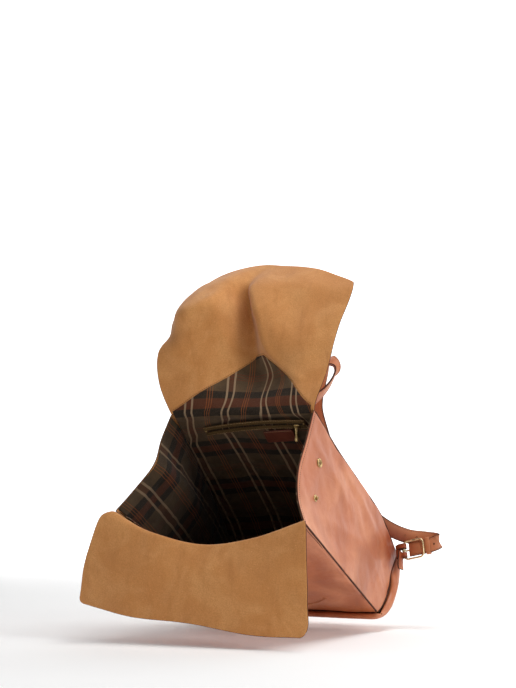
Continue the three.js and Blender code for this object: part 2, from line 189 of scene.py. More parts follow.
FRONT = coons(
    straight(
        BASE_FRONT[-1], BASE_FRONT[1]
    ), FRONT_MOUTH, FRONT_SIDE[-1], FRONT_SIDE[1], 5, vec(0, -0.36, -0.93)
)
BACK = coons(
    straight(BASE_BACK[-1], BASE_BACK[1]), BACK_MOUTH, BACK_SIDE[-1], BACK_SIDE[1], 10, vec(0, 0.62, 0.78)
)
SIDE = {
    -1: coons(BASE_SIDE[-1], SIDE_MOUTH[-1], FRONT_SIDE[-1], BACK_SIDE[-1], -10, vec(-1, 0, 0)),
    1: coons(BASE_SIDE[1], SIDE_MOUTH[1], FRONT_SIDE[1], BACK_SIDE[1], 4, vec(1, 0, 0)),
}

# The main flap, from its fold line up: its left side curls forward, a valley runs down its middle and
# its right wing leans back
MAIN_FLAP = [
    [
        (-107, -44, 300), (-66, -42, 301), (-20, -39, 301), (10, -37, 301), (30, -36, 301), (70, -33, 302),
        (112, -31, 302)
    ],
    [
        (-124, -51, 345), (-76, -40, 350), (-28, -18, 352), (6, -2, 352), (34, -6, 354), (80, -20, 352),
        (122, -14, 352)
    ],
    [
        (-123, -55, 386), (-80, -54, 392), (-34, -22, 394), (0, 12, 398), (30, -20, 398), (78, -14, 398),
        (129, -1, 396)
    ],
    [
        (-109, -43, 411), (-78, -58, 422), (-38, -38, 428), (-4, 14, 430), (22, -18, 430), (78, -6, 424),
        (133, 8, 420)
    ],
    [
        (-113, -30, 432), (-80, -66, 444), (-40, -50, 454), (-8, 12, 456), (12, -14, 456), (78, 6, 448),
        (139, 20, 446)
    ],
    [
        (-116, -4, 460), (-82, -20, 480), (-44, -16, 488), (-12, 14, 486), (4, 0, 484), (74, 22, 482),
        (144, 34, 474)
    ],
    [
        (-104, 16, 486), (-78, 38, 507), (-34, 54, 522), (-2, 58, 526), (24, 58, 523), (80, 58, 512),
        (142, 46, 490)
    ],
]
FRONT_FLAP = [
    [(-152, -162, 152), (-72, -150, 128), (-6, -137, 113), (62, -130, 122), (138, -125, 146)],
    [(-176, -160, 90), (-95, -158, 78), (-10, -148, 66), (65, -143, 62), (143, -134, 80)],
    [(-190, -152, 36), (-105, -155, 20), (-20, -148, 14), (72, -145, 2.2), (147, -137, 1.4)],
]


def flap_rows(net, u):
    return np.stack([spline(np.array(row, float), u) for row in net])


def grid_normals(grid):
    across = np.gradient(grid, axis=1)
    up = np.gradient(grid, axis=0)
    return unit(np.cross(across, up))


def lengths(grid, axis, datum=0.5):
    """Distance along each row or column of a grid, from the point at the share datum."""
    step = np.linalg.norm(np.diff(grid, axis=axis), axis=2)
    total = np.cumsum(step, axis=axis)
    zero = np.zeros_like(np.take(total, [0], axis=axis))
    total = np.concatenate([zero, total], axis=axis)
    middle = int(round(datum * (total.shape[axis] - 1)))
    return total - np.take(total, [middle], axis=axis)


def edge_distances(grid):
    """Distance of every grid point from the first and last column and the first and last row."""
    u, v = lengths(grid, 1, 0), lengths(grid, 0, 0)
    return u, u[:, -1:] - u, v, v[-1:, :] - v


def rolled_in(distance, width, depth):
    """How far a panel turns in towards its seam."""
    return depth * (1 - np.sqrt(1 - np.clip(1 - distance / width, 0, 1) ** 2))


def ripples(grid, size, seed, count=14):
    """Low waves of about size millimetres, always the same for a seed."""
    random = np.random.default_rng(seed)
    total = np.zeros(grid.shape[:2])
    for _ in range(count):
        direction = unit(random.normal(size=3))
        wave = 2 * np.pi / (size * random.uniform(0.7, 1.6))
        total += np.sin(grid @ direction * wave + random.uniform(0, 2 * np.pi))
    return total / count**0.5


def crease(grid, points, width, depth):
    """A soft ridge, or a valley if depth is negative, along a line of points; it fades at its ends."""
    route = even(spline(np.array(points, float), np.linspace(0, 1, 40)), 40)
    flat = grid.reshape(-1, 3)
    apart = np.linalg.norm(flat[:, None, :] - route[None, :, :], axis=2)
    nearest = apart.argmin(1)
    fade = np.sin(np.pi * (0.12 + 0.76 * nearest / 39)) ** 0.7
    height = depth * np.exp(-((apart.min(1) / width) ** 2)) * fade
    return height.reshape(grid.shape[:2])


def sampled(grid, rows, columns):
    """Bilinear samples of a grid at fractional rows and columns."""
    last_row, last_column = grid.shape[0] - 1, grid.shape[1] - 1
    j = np.clip(np.floor(rows).astype(int), 0, last_row - 1)
    i = np.clip(np.floor(columns).astype(int), 0, last_column - 1)
    fj, fi = (rows - j)[..., None], (columns - i)[..., None]
    return (
        grid[j, i] * (1 - fj) * (1 - fi)
        + grid[j, i + 1] * (1 - fj) * fi
        + grid[j + 1, i] * fj * (1 - fi)
        + grid[j + 1, i + 1] * fj * fi
    )


def corners_rounded(grid, corners):
    """Rounds corners of a grid. corners lists (right, radius across, radius along) at the last row, in mm."""
    height, width = grid.shape[0] - 1, grid.shape[1] - 1
    v, u = np.meshgrid(np.linspace(0, 1, height + 1), np.linspace(0, 1, width + 1), indexing="ij")
    across = lengths(grid, 1, 0)[-1, -1]
    along = lengths(grid, 0, 0)[-1, width // 2]
    for right, radius_across, radius_along in corners:
        ru, rv = radius_across / across, radius_along / along
        side = u if right else 1 - u
        a, b = (side - (1 - ru)) / ru, (v - (1 - rv)) / rv
        inside = (a > 0) & (b > 0)
        share = np.where(inside, np.maximum(a, b) / np.maximum(np.hypot(a, b), 1e-9), 1)
        side = np.where(inside, 1 - ru + ru * a * share, side)
        v = np.where(inside, 1 - rv + rv * b * share, v)
        u = side if right else 1 - side
    return sampled(grid, v * height, u * width)


# ---------------------------------------------------------------- closed shells


class Shell:
    """Points, faces, a material number for each face and a flat place for each point, of one closed body."""

    def __init__(self, points, faces, slots=0, flat=None):
        self.points = np.asarray(points, float).reshape(-1, 3)
        self.faces = [tuple(face) for face in faces]
        self.slots = [slots] * len(self.faces) if isinstance(slots, int) else list(slots)
        self.flat = np.zeros((len(self.points), 2)) if flat is None else np.asarray(flat).reshape(-1, 2)
        volume = 0.0
        for face in self.faces:
            a = self.points[face[0]]
            for k in range(1, len(face) - 1):
                volume += a @ np.cross(self.points[face[k]], self.points[face[k + 1]])
        if volume < 0:
            self.faces = [face[::-1] for face in self.faces]


def sheet_shell(grid, thickness, side, level=0.0, flat=None, slots=(0, 1, 2)):
    """A closed sheet around a grid. side 1 puts the outer face along the grid's normals, -1 against them."""
    rows, columns = grid.shape[:2]
    normal = grid_normals(grid) * side
    outer = grid + normal * (thickness / 2 + level)
    inner = grid - normal * (thickness / 2 - level)
    along, up = unit(np.gradient(grid, axis=1)), unit(np.gradient(grid, axis=0))
    border = np.zeros_like(grid)
    border[:, 0] -= along[:, 0]
    border[:, -1] += along[:, -1]
    border[0] -= up[0]
    border[-1] += up[-1]
    middle = grid + normal * level + border * thickness * 0.35
    number = np.arange(rows * columns).reshape(rows, columns)
    loop = np.concatenate(
        [number[0, :-1], number[:-1, -1], number[-1, :0:-1], number[:0:-1, 0]]
    )
    total = rows * columns
    ring = 2 * total + np.arange(len(loop))
    a, b, c, d = number[:-1, :-1], number[:-1, 1:], number[1:, 1:], number[1:, :-1]
    top = np.stack([a, b, c, d], -1).reshape(-1, 4)
    bottom = top[:, ::-1] + total
    following = np.roll(loop, -1)
    ring_following = np.roll(ring, -1)
    rim_outer = np.stack([following, loop, ring, ring_following], 1)
    rim_inner = np.stack([ring_following, ring, loop + total, following + total], 1)
    points = np.concatenate([outer.reshape(-1, 3), inner.reshape(-1, 3), middle.reshape(-1, 3)[loop]])
    faces = np.concatenate([top, bottom, rim_outer, rim_inner]).tolist()
    numbers = (
        [slots[0]] * len(top) + [slots[1]] * len(bottom) + [slots[2]] * (len(rim_outer) + len(rim_inner))
    )
    if flat is None:
        flat = np.stack([lengths(grid, 1), lengths(grid, 0, 0)], -1)
    flat = flat.reshape(-1, 2)
    return volume_checked(points, faces, numbers, np.concatenate([flat, flat, flat[loop]]))


def volume_checked(points, faces, numbers, flat):
    """A shell from four-sided faces only, turned to face out without a slow loop."""
    quads = np.array(faces)
    p = points - points.mean(0)
    volume = np.einsum("ij,ij->", p[quads[:, 0]], np.cross(p[quads[:, 1]], p[quads[:, 2]]))
    volume += np.einsum("ij,ij->", p[quads[:, 0]], np.cross(p[quads[:, 2]], p[quads[:, 3]]))
    shell = Shell.__new__(Shell)
    shell.points, shell.slots, shell.flat = points, list(numbers), flat
    shell.faces = (quads if volume > 0 else quads[:, ::-1]).tolist()
    return shell


def swept(path, sides, faces_up, outline, closed=False, slots=0, taper=None):
    """Sweeps an outline (across, up) along a path.

    sides and faces_up give its two directions at each point.
    """
    path, outline = np.asarray(path, float), np.asarray(outline, float)
    count, ring = len(path), len(outline)
    scale = np.ones(count) if taper is None else np.asarray(taper)
    points = (
        path[:, None]
        + sides[:, None] * (outline[None, :, :1] * scale[:, None, None])
        + faces_up[:, None] * (outline[None, :, 1:] * scale[:, None, None])
    ).reshape(-1, 3)
    number = np.arange(count * ring).reshape(count, ring)
    if closed:
        number = np.concatenate([number, number[:1]])
    a, b = number[:-1], number[1:]
    quads = np.stack([a, np.roll(a, -1, 1), np.roll(b, -1, 1), b], -1).reshape(-1, 4)
    faces = quads.tolist()
    if not closed:
        faces += [list(number[0][::-1]), list(number[-1])]
    along = np.concatenate([[0], np.cumsum(np.linalg.norm(np.diff(path, axis=0), axis=1))])
    around = np.concatenate([[0], np.cumsum(np.linalg.norm(np.diff(outline, axis=0), axis=1))])
    flat = np.stack(np.meshgrid(around, along), -1)
    return Shell(points, faces, slots, flat)


def strap_outline(width, thickness, steps=5):
    """A flat strap's section: slightly crowned faces and rounded edges."""
    half, edge = width / 2, thickness / 2
    turn = np.linspace(-np.pi / 2, np.pi / 2, steps)
    right = np.stack([half - edge * 0.8 + np.cos(turn) * edge * 0.8, np.sin(turn) * edge], 1)
    return np.concatenate([right, -right])


def round_outline(radius, sides=12):
    turn = np.linspace(0, 2 * np.pi, sides, endpoint=False)
    return np.stack([np.cos(turn), np.sin(turn)], 1) * radius


def frames(path, across=None, closed=False):
    """Sideways and upward directions along a path, carried without twist or set by across."""
    path = np.asarray(path, float)
    if closed:
        forward = unit(np.roll(path, -1, 0) - np.roll(path, 1, 0))
    else:
        forward = unit(np.gradient(path, axis=0))
    if across is None:
        start = np.cross(forward[0], vec(0.31, 0.52, 0.8))
        across = np.repeat([unit(start)], len(path), 0)
        for i in range(1, len(path)):
            side = across[i - 1] - forward[i] * (across[i - 1] @ forward[i])
            across[i] = unit(side)
    across = np.asarray(across, float)
    side = unit(across - forward * np.sum(across * forward, 1, keepdims=True))
    return side, np.cross(forward, side)


def tube(path, radius, sides=12, closed=False, slots=0, taper=None):
    side, up = frames(path, closed=closed)
    return swept(path, side, up, round_outline(radius, sides), closed, slots, taper)


def lathed(profile, place, axis, sides=40, slots=0):
    """A turned shape: profile lists radius and height; it starts and ends on the axis."""
    z = unit(axis)
    x = unit(np.cross(z, vec(0.2, 0.9, 0.4)))
    y = np.cross(z, x)
    turn = np.linspace(0, 2 * np.pi, sides, endpoint=False)
    rings = [p for p in profile if p[0] > 1e-6]
    points = [
        place + (x * np.cos(a) + y * np.sin(a)) * r + z * h for r, h in rings for a in turn
    ]
    faces = []
    for k in range(len(rings) - 1):
        for i in range(sides):
            a, b = k * sides + i, k * sides + (i + 1) % sides
            faces.append((a, b, b + sides, a + sides))
    for height, ring, order in ((profile[0][1], 0, 1), (profile[-1][1], len(rings) - 1, -1)):
        points.append(place + z * height)
        centre = len(points) - 1
        for i in range(sides):
            a, b = ring * sides + i, ring * sides + (i + 1) % sides
            faces.append((a, centre, b)[::order])
    return Shell(points, faces, slots)


def plate(outline, thickness, place, x, y, bevel=0.3, slots=0, arch=0.0):
    """A flat plate with softened edges, from an outline in its own x and y. arch bows it, along y."""
    outline = np.asarray(outline, float)
    x, y = unit(x), unit(y)
    z = np.cross(x, y)
    centre = outline.mean(0)
    direction = unit(outline - centre)
    levels = [(bevel, -0.5), (0, -0.5 + bevel / thickness), (0, 0.5 - bevel / thickness), (bevel, 0.5)]
    points = []
    for inset, share in levels:
        ring = outline - direction * inset
        lift = share * thickness + arch * (1 - (ring[:, 1] / np.abs(outline[:, 1]).max()) ** 2)
        points.append(place + ring[:, :1] * x + ring[:, 1:] * y + lift[:, None] * z)
    count = len(outline)
    faces = []
    for k in range(3):
        for i in range(count):
            a, b = k * count + i, k * count + (i + 1) % count
            faces.append((a, b, b + count, a + count))
    faces += [tuple(range(count))[::-1], tuple(range(3 * count, 4 * count))]
    flat = np.tile(outline, (4, 1))
    return Shell(np.concatenate(points), faces, slots, flat)


def rounded_rectangle(width, height, radius, steps=6):
    corners = []
    for sx, sy, start in ((1, 1, 0), (-1, 1, 90), (-1, -1, 180), (1, -1, 270)):
        turn = np.radians(np.linspace(start, start + 90, steps))
        centre = vec(sx * (width / 2 - radius), sy * (height / 2 - radius))
        corners.append(centre + np.stack([np.cos(turn), np.sin(turn)], 1) * radius)
    return np.concatenate(corners)


def to_row(points):
    return (np.asarray(points, float) + ROW_SHIFT) * MM


def make(name, shells, materials, sharp=None):
    """One mesh object in the row frame from closed shells given in bag millimetres."""
    points, faces, slots, flat = [], [], [], []
    start = 0
    for shell in shells:
        points.append(shell.points)
        flat.append(shell.flat)
        faces += [tuple(int(i) + start for i in face) for face in shell.faces]
        slots += shell.slots
        start += len(shell.points)
    mesh = bpy.data.meshes.new(name)
    mesh.from_pydata(to_row(np.concatenate(points)).tolist(), [], faces)
    mesh.polygons.foreach_set("material_index", np.array(slots, np.int32))
    mesh.polygons.foreach_set("use_smooth", np.ones(len(faces), bool))
    corner = np.zeros(len(mesh.loops), np.int32)
    mesh.loops.foreach_get("vertex_index", corner)
    layer = mesh.uv_layers.new(name="Flat")
    layer.data.foreach_set("uv", (np.concatenate(flat)[corner] * MM).astype(np.float32).ravel())
    for material in materials:
        mesh.materials.append(material)
    if sharp:
        mesh.set_sharp_from_angle(angle=np.radians(sharp))
    mesh.validate()
    made = bpy.data.objects.new(name, mesh)
    bpy.context.collection.objects.link(made)
    return made


def row_point(point):
    return tuple(to_row(point))


# Where soft sheets turn from the body onto a flap
MAIN_FOLD = ("shell", "main_flap", (0, 0, 0.292), (0, 0, 0.325))
FOLD_WAY = unit(vec(0.12, -0.7, -0.7))
FRONT_FOLD = ("shell", "front_flap", tuple(FOLD_WAY * 0.014), tuple(FOLD_WAY * 0.05))


def settle(piece, body=None, fold=None, stands_for=()):
    if stands_for:
        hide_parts(*stands_for)
    if fold:
        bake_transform(piece)
    else:
        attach(piece, body)
    return piece


# ---------------------------------------------------------------- shader arithmetic


class Value:
    """A shader socket that does arithmetic: each operator adds one Math node."""

    def __init__(self, shader, socket):
        self.shader, self.socket = shader, socket

    def __add__(self, other):
        return self.shader.math("ADD", self, other)

    def __sub__(self, other):
        return self.shader.math("SUBTRACT", self, other)

    def __mul__(self, other):
        return self.shader.math("MULTIPLY", self, other)

    def __truediv__(self, other):
        return self.shader.math("DIVIDE", self, other)

    def __pow__(self, other):
        return self.shader.math("POWER", self, other)

    def __radd__(self, other):
        return self.shader.math("ADD", other, self)

    def __rsub__(self, other):
        return self.shader.math("SUBTRACT", other, self)

    def __rmul__(self, other):
        return self.shader.math("MULTIPLY", other, self)

    def __rtruediv__(self, other):
        return self.shader.math("DIVIDE", other, self)

    def __neg__(self):
        return self.shader.math("SUBTRACT", 0.0, self)


def tone(red, green, blue):
    """A linear colour from screen values of 0 to 255."""
    share = np.array([red, green, blue]) / 255
    linear = np.where(share <= 0.04045, share / 12.92, ((share + 0.055) / 1.055) ** 2.4)
    return (*(float(x) for x in linear), 1.0)


class Shader:
    """A material with one Principled shader, and short ways to make the nodes that feed it."""

    def __init__(self, name, **constants):
        self.material = bpy.data.materials.new(name)
        self.material.use_nodes = True
        self.tree = self.material.node_tree
        self.surface = next(n for n in self.tree.nodes if n.type == "BSDF_PRINCIPLED")
        for key, value in constants.items():
            self.surface.inputs[key.replace("_", " ")].default_value = value
        coordinates = self.tree.nodes.new("ShaderNodeTexCoord")
        self.place = Value(self, coordinates.outputs["Object"])
        self.flat = Value(self, coordinates.outputs["UV"])

    def feed(self, socket, value):
        if isinstance(value, Value):
            self.tree.links.new(value.socket, socket)
        else:
            socket.default_value = value

    def node(self, kind, inputs=None, output=0, **settings):
        """Any node: settings are its properties, inputs its sockets by name or number."""
        made = self.tree.nodes.new(kind)
        for key, value in settings.items():
            setattr(made, key, value)
        for key, value in (inputs or {}).items():
            self.feed(made.inputs[key], value)
        return Value(self, made.outputs[output])

    def math(self, operation, *values):
        return self.node("ShaderNodeMath", dict(enumerate(values)), operation=operation)

    def noise(self, scale, detail=3.0, roughness=0.5, distortion=0.0, where=None):
        inputs = {
            "Vector": where or self.place,
            "Scale": scale,
            "Detail": detail,
            "Roughness": roughness,
            "Distortion": distortion,
        }
        return self.node("ShaderNodeTexNoise", inputs)

    def cells(self, scale, output="Distance", feature="F1", where=None):
        inputs = {"Vector": where or self.place, "Scale": scale}
        return self.node("ShaderNodeTexVoronoi", inputs, output, feature=feature)

    def step(self, value, low, high, start=0.0, end=1.0):
        inputs = {"Value": value, 1: low, 2: high, 3: start, 4: end}
        return self.node("ShaderNodeMapRange", inputs, interpolation_type="SMOOTHSTEP")

    def mix(self, share, first, second, blend="MIX"):
        inputs = {0: share, 6: first, 7: second}
        return self.node("ShaderNodeMix", inputs, 2, data_type="RGBA", blend_type=blend)

    def near(self, point, radius, softness=0.5):
        """1 near a point of the row frame, falling to 0 at the radius."""
        apart = self.node(
            "ShaderNodeVectorMath", {0: self.place, 1: tuple(point)}, "Value", operation="DISTANCE"
        )
        return self.step(apart, radius, radius * (1 - softness))

    def part(self, vector, axis):
        return self.node("ShaderNodeSeparateXYZ", {0: vector}, axis)

    def stretched(self, vector, scale, turn=(0, 0, 0)):
        return self.node(
            "ShaderNodeMapping", {"Vector": vector, "Scale": scale, "Rotation": turn}
        )

    def bump(self, height, strength, distance, under=None):
        inputs = {"Height": height, "Strength": strength, "Distance": distance}
        if under:
            inputs["Normal"] = under
        return self.node("ShaderNodeBump", inputs)

    def done(self, **sockets):
        for key, value in sockets.items():
            self.feed(self.surface.inputs[key.replace("_", " ")], value)
        return self.material


def smooth_leather(name, base, deep, pale, warm, coat=0.22, grain=1.0):
    """Waxed leather: cloudy colour, darker creases, fine grain and a soft uneven sheen."""
    s = Shader(name, Coat_Roughness=0.34, Specular_IOR_Level=0.42)
    clouds = s.noise(13, 4, 0.55, 0.4)
    long_clouds = s.noise(9, 3, 0.5, 0.8, s.stretched(s.place, (1.6, 1.0, 0.55), (0.5, 0, 0)))
    fine = s.noise(150, 3, 0.6)
    pores = s.cells(1500, feature="F1")
    veins = s.cells(420, feature="DISTANCE_TO_EDGE")
    colour = s.mix(s.step(clouds, 0.35, 0.68), base, pale)
    colour = s.mix(s.step(long_clouds, 0.48, 0.74) * 0.6, colour, deep)
    colour = s.mix(s.step(fine, 0.45, 0.8) * 0.22, colour, warm)
    colour = s.mix(s.step(veins, 0.06, 0.0) * 0.16, colour, deep)
    rubbed = s.near(row_point((140, 204, 103)), 0.050, 0.6)
    colour = s.mix(rubbed * 0.95, colour, tone(142, 62, 26))
    height = veins * 0.6 + pores * 0.25 + fine * 0.35
    soft = s.bump(s.noise(26, 3, 0.5, 0.6), 0.45, 0.005)
    normal = s.bump(height, 0.22 * grain, 0.0006, soft)
    rough = 0.40 + s.step(clouds, 0.3, 0.75) * 0.14 + fine * 0.10
    return s.done(
        Base_Color=colour, Roughness=rough, Coat_Weight=coat + rubbed * -0.1, Normal=normal
    )


def suede_leather(name, base, deep, pale):
    """Brushed suede: short nap, darker brushed patches, pale specks and small pits."""
    s = Shader(name, Sheen_Weight=0.22, Sheen_Roughness=0.55, Specular_IOR_Level=0.18)
    brushed = s.noise(16, 5, 0.6, 0.9)
    swipes = s.noise(60, 4, 0.62, 0.3, s.stretched(s.place, (1.0, 0.6, 0.35), (0.3, 0.2, 0.4)))
    nap = s.noise(620, 4, 0.7)
    fibres = s.noise(1900, 2, 0.6)
    specks = s.cells(260)
    chosen = s.noise(75, 2, 0.5)
    colour = s.mix(s.step(brushed, 0.36, 0.72) * 0.5, base, pale)
    colour = s.mix(s.step(swipes, 0.46, 0.78) * 0.32, colour, deep)
    colour = s.mix(s.step(nap, 0.38, 0.66) * 0.34, colour, deep)
    colour = s.mix(s.step(specks, 0.20, 0.08) * s.step(chosen, 0.52, 0.62) * 0.6, colour, pale)
    colour = s.mix(s.step(fibres, 0.50, 0.70) * 0.18, colour, pale)
    pits = s.step(specks, 0.26, 0.04) * s.step(chosen, 0.50, 0.64)
    wide = s.bump(swipes + brushed, 0.22, 0.0022)
    normal = s.bump(nap * 0.7 + fibres * 0.3 + pits * 0.5, 0.55, 0.0007, wide)
    return s.done(Base_Color=colour, Roughness=0.88 + nap * 0.1, Normal=normal)


def edge_leather(name, base, deep):
    """A cut or painted leather edge: layered fibres under a dull dye."""
    s = Shader(name, Specular_IOR_Level=0.3)
    layers = s.noise(900, 3, 0.6, 0.0, s.stretched(s.place, (1, 1, 3)))
    colour = s.mix(s.step(layers, 0.35, 0.7), base, deep)
    return s.done(Base_Color=colour, Roughness=0.62 + layers * 0.2, Normal=s.bump(layers, 0.4, 0.0003))


def plaid_cloth(name, light=1.0):
    """Woven cotton plaid: paired cream stripes and thin orange lines across, black, rust and grey bands
    and thin red lines down the wall."""
    s = Shader(name, Sheen_Weight=0.08, Specular_IOR_Level=0.15)
    slub = s.noise(90, 2, 0.5, 0.0)
    x = s.part(s.flat, 0) + (slub - 0.5) * 0.0006
    y = s.part(s.flat, 1) + (slub - 0.5) * 0.0006

    def band(where, period, centre, width, soft=0.0005):
        turns = (where - centre) / period
        off = (turns - s.math("ROUND", turns)) * period
        apart = s.math("ABSOLUTE", off)
        return s.step(apart, width / 2 + soft, width / 2 - soft)

    # light below 1 darkens every colour of the plaid: painted shade, for a shaded copy of the lining
    def dim(red, green, blue):
        return tone(red * light, green * light, blue * light)

    across, down = 0.0735, 0.098
    # The plaid's colours, the ground first, are set near their tone in the bag's shade: partly the cloth's
    # own dark colours, partly painted shade
    colour = s.mix(s.step(s.noise(40, 3), 0.35, 0.65), dim(92, 72, 50), dim(76, 58, 40))
    colour = s.mix(band(x, across, 0.0335, 0.0095) * 0.55, colour, dim(88, 44, 24))
    colour = s.mix(band(y, down, 0.0135, 0.015) * 0.80, colour, dim(84, 36, 18))
    for centre in (0.0, 0.027):
        colour = s.mix(band(y, down, centre, 0.012) * 0.86, colour, dim(24, 19, 16))
    for centre in (-0.0044, 0.0, 0.0044):
        colour = s.mix(band(y, down, 0.060 + centre, 0.0009, 0.0003) * 0.65, colour, dim(120, 46, 28))
        colour = s.mix(band(x, across, -0.003 + centre, 0.0009, 0.0003) * 0.75, colour, dim(168, 92, 44))
    for centre in (0.027, 0.040):
        colour = s.mix(band(x, across, centre, 0.0038) * 0.72, colour, dim(170, 142, 112))
    warp = s.math("SINE", s.part(s.flat, 0) * 9000)
    weft = s.math("SINE", s.part(s.flat, 1) * 9000)
    weave = warp * weft
    colour = s.mix(s.step(weave, -0.2, 0.8) * 0.16, colour, dim(40, 32, 24))
    colour = s.mix(s.step(s.noise(700, 3, 0.7), 0.4, 0.75) * 0.18, colour, dim(120, 104, 84))
    wrinkle = s.bump(s.noise(34, 3, 0.5, 0.8), 0.35, 0.004)
    normal = s.bump(weave * 0.5 + slub, 0.35, 0.0003, wrinkle)
    return s.done(Base_Color=colour, Roughness=0.9 + slub * 0.06, Normal=normal)


def woven_tape(name, base, deep):
    """Zip tape: a herringbone twill."""
    s = Shader(name, Specular_IOR_Level=0.2)
    x, y = s.part(s.flat, 0), s.part(s.flat, 1)
    ridge = s.math("SINE", (x + s.math("PINGPONG", y, 0.0014)) * 7000)
    dirt = s.noise(120, 3, 0.6)
    colour = s.mix(s.step(ridge, -0.4, 0.6), deep, base)
    colour = s.mix(s.step(dirt, 0.5, 0.75) * 0.3, colour, deep)
    return s.done(Base_Color=colour, Roughness=0.85 + dirt * 0.1, Normal=s.bump(ridge, 0.4, 0.0003))


def old_brass(name, bright, worn, patina):
    """Antique brass: bright and worn metal and dark patina in random patches, with a fine brushed grain."""
    s = Shader(name, Metallic=1.0)
    stain = s.noise(330, 4, 0.6, 0.4)
    brushed = s.noise(1400, 2, 0.5, 0.0, s.stretched(s.place, (0.15, 1, 1)))
    dull = s.noise(140, 3, 0.6, 0.8)
    colour = s.mix(s.step(stain, 0.42, 0.66), bright, worn)
    colour = s.mix(s.step(dull, 0.52, 0.72) * 0.8, colour, patina)
    rough = 0.24 + stain * 0.22 + s.step(dull, 0.5, 0.7) * 0.2
    return s.done(Base_Color=colour, Roughness=rough, Normal=s.bump(brushed, 0.12, 0.0002))


def thread(name, base, deep):
    s = Shader(name, Sheen_Weight=0.15, Specular_IOR_Level=0.3)
    twist = s.noise(2600, 2, 0.5, 0.0, s.stretched(s.place, (1, 1, 2)))
    colour = s.mix(s.step(twist, 0.35, 0.65), deep, base)
    return s.done(Base_Color=colour, Roughness=0.6 + twist * 0.2, Normal=s.bump(twist, 0.5, 0.0002))


def fibre_board(name):
    s = Shader(name)
    fibres = s.noise(300, 4, 0.7, 1.0)
    colour = s.mix(s.step(fibres, 0.35, 0.65), tone(110, 92, 74), tone(78, 62, 48))
    return s.done(Base_Color=colour, Roughness=0.85 + fibres * 0.1, Normal=s.bump(fibres, 0.5, 0.0004))


def pale_stage(name):
    """Pale floor that turns into a backdrop lit evenly from its own far end."""
    s = Shader(name, Specular_IOR_Level=0.1, Emission_Strength=1.0)
    mottle = s.noise(3, 2)
    colour = s.mix(mottle, tone(248, 248, 248), tone(251, 251, 251))
    far = s.step(s.part(s.place, 1), 0.35, 2.2)
    glow = s.mix(far, tone(60, 60, 60), tone(246, 246, 246))
    return s.done(Base_Color=colour, Roughness=0.9 + mottle * 0.05, Emission_Color=glow)


class Finishes:
    """The materials of the bag, made once."""

    def __init__(self):
        self.body = smooth_leather(
            "waxed leather", tone(188, 108, 66), tone(150, 74, 38), tone(208, 136, 96), tone(172, 84, 42)
        )
        self.strap = smooth_leather(
            "strap leather", tone(
                182, 110, 70
            ), tone(136, 70, 36), tone(198, 130, 88), tone(178, 92, 44), 0.18, 1.3
        )
        self.suede = suede_leather("suede", tone(200, 136, 76), tone(158, 96, 46), tone(226, 168, 106))
        self.cut_edge = edge_leather("cut leather edge", tone(104, 62, 38), tone(62, 34, 20))
        # This dark edge colour is also painted shade, in the seam grooves and the socket wells
        self.dark_edge_and_shade = edge_leather("dyed strap edge and painted shade", tone(86, 44, 26), tone(52, 26, 16))
        self.plaid = plaid_cloth("plaid lining")
        # A darker copy of the plaid for the left lining wall: painted shade
        self.shaded_side_plaid = plaid_cloth("plaid side lining in painted shade", 0.8)
        self.tape = woven_tape("zip tape weave", tone(104, 80, 44), tone(70, 50, 26))
        self.coil = woven_tape("zip coil", tone(74, 56, 34), tone(44, 32, 20))
        self.label = smooth_leather(
            "label leather", tone(92, 40, 24), tone(60, 24, 14), tone(104, 48, 30), tone(88, 34, 20), 0.1, 1.0
        )
        self.brass = old_brass("antique brass", tone(214, 184, 128), tone(150, 120, 78), tone(60, 44, 30))
        self.light_brass = old_brass(
            "rubbed brass", tone(240, 222, 180), tone(206, 182, 132), tone(110, 88, 58)
        )
        self.thread = thread("tan thread", tone(150, 100, 58), tone(96, 58, 32))
        self.pale_thread = thread("pale thread", tone(214, 176, 130), tone(160, 118, 76))
        self.dark_thread = thread("dark thread", tone(96, 52, 32), tone(54, 28, 18))
        self.board = fibre_board("pressed board")


FINISH = {}


def finishes():
    if "made" not in FINISH:
        FINISH["made"] = Finishes()
    return FINISH["made"]


# ---------------------------------------------------------------- rows of stitches, by Geometry Nodes


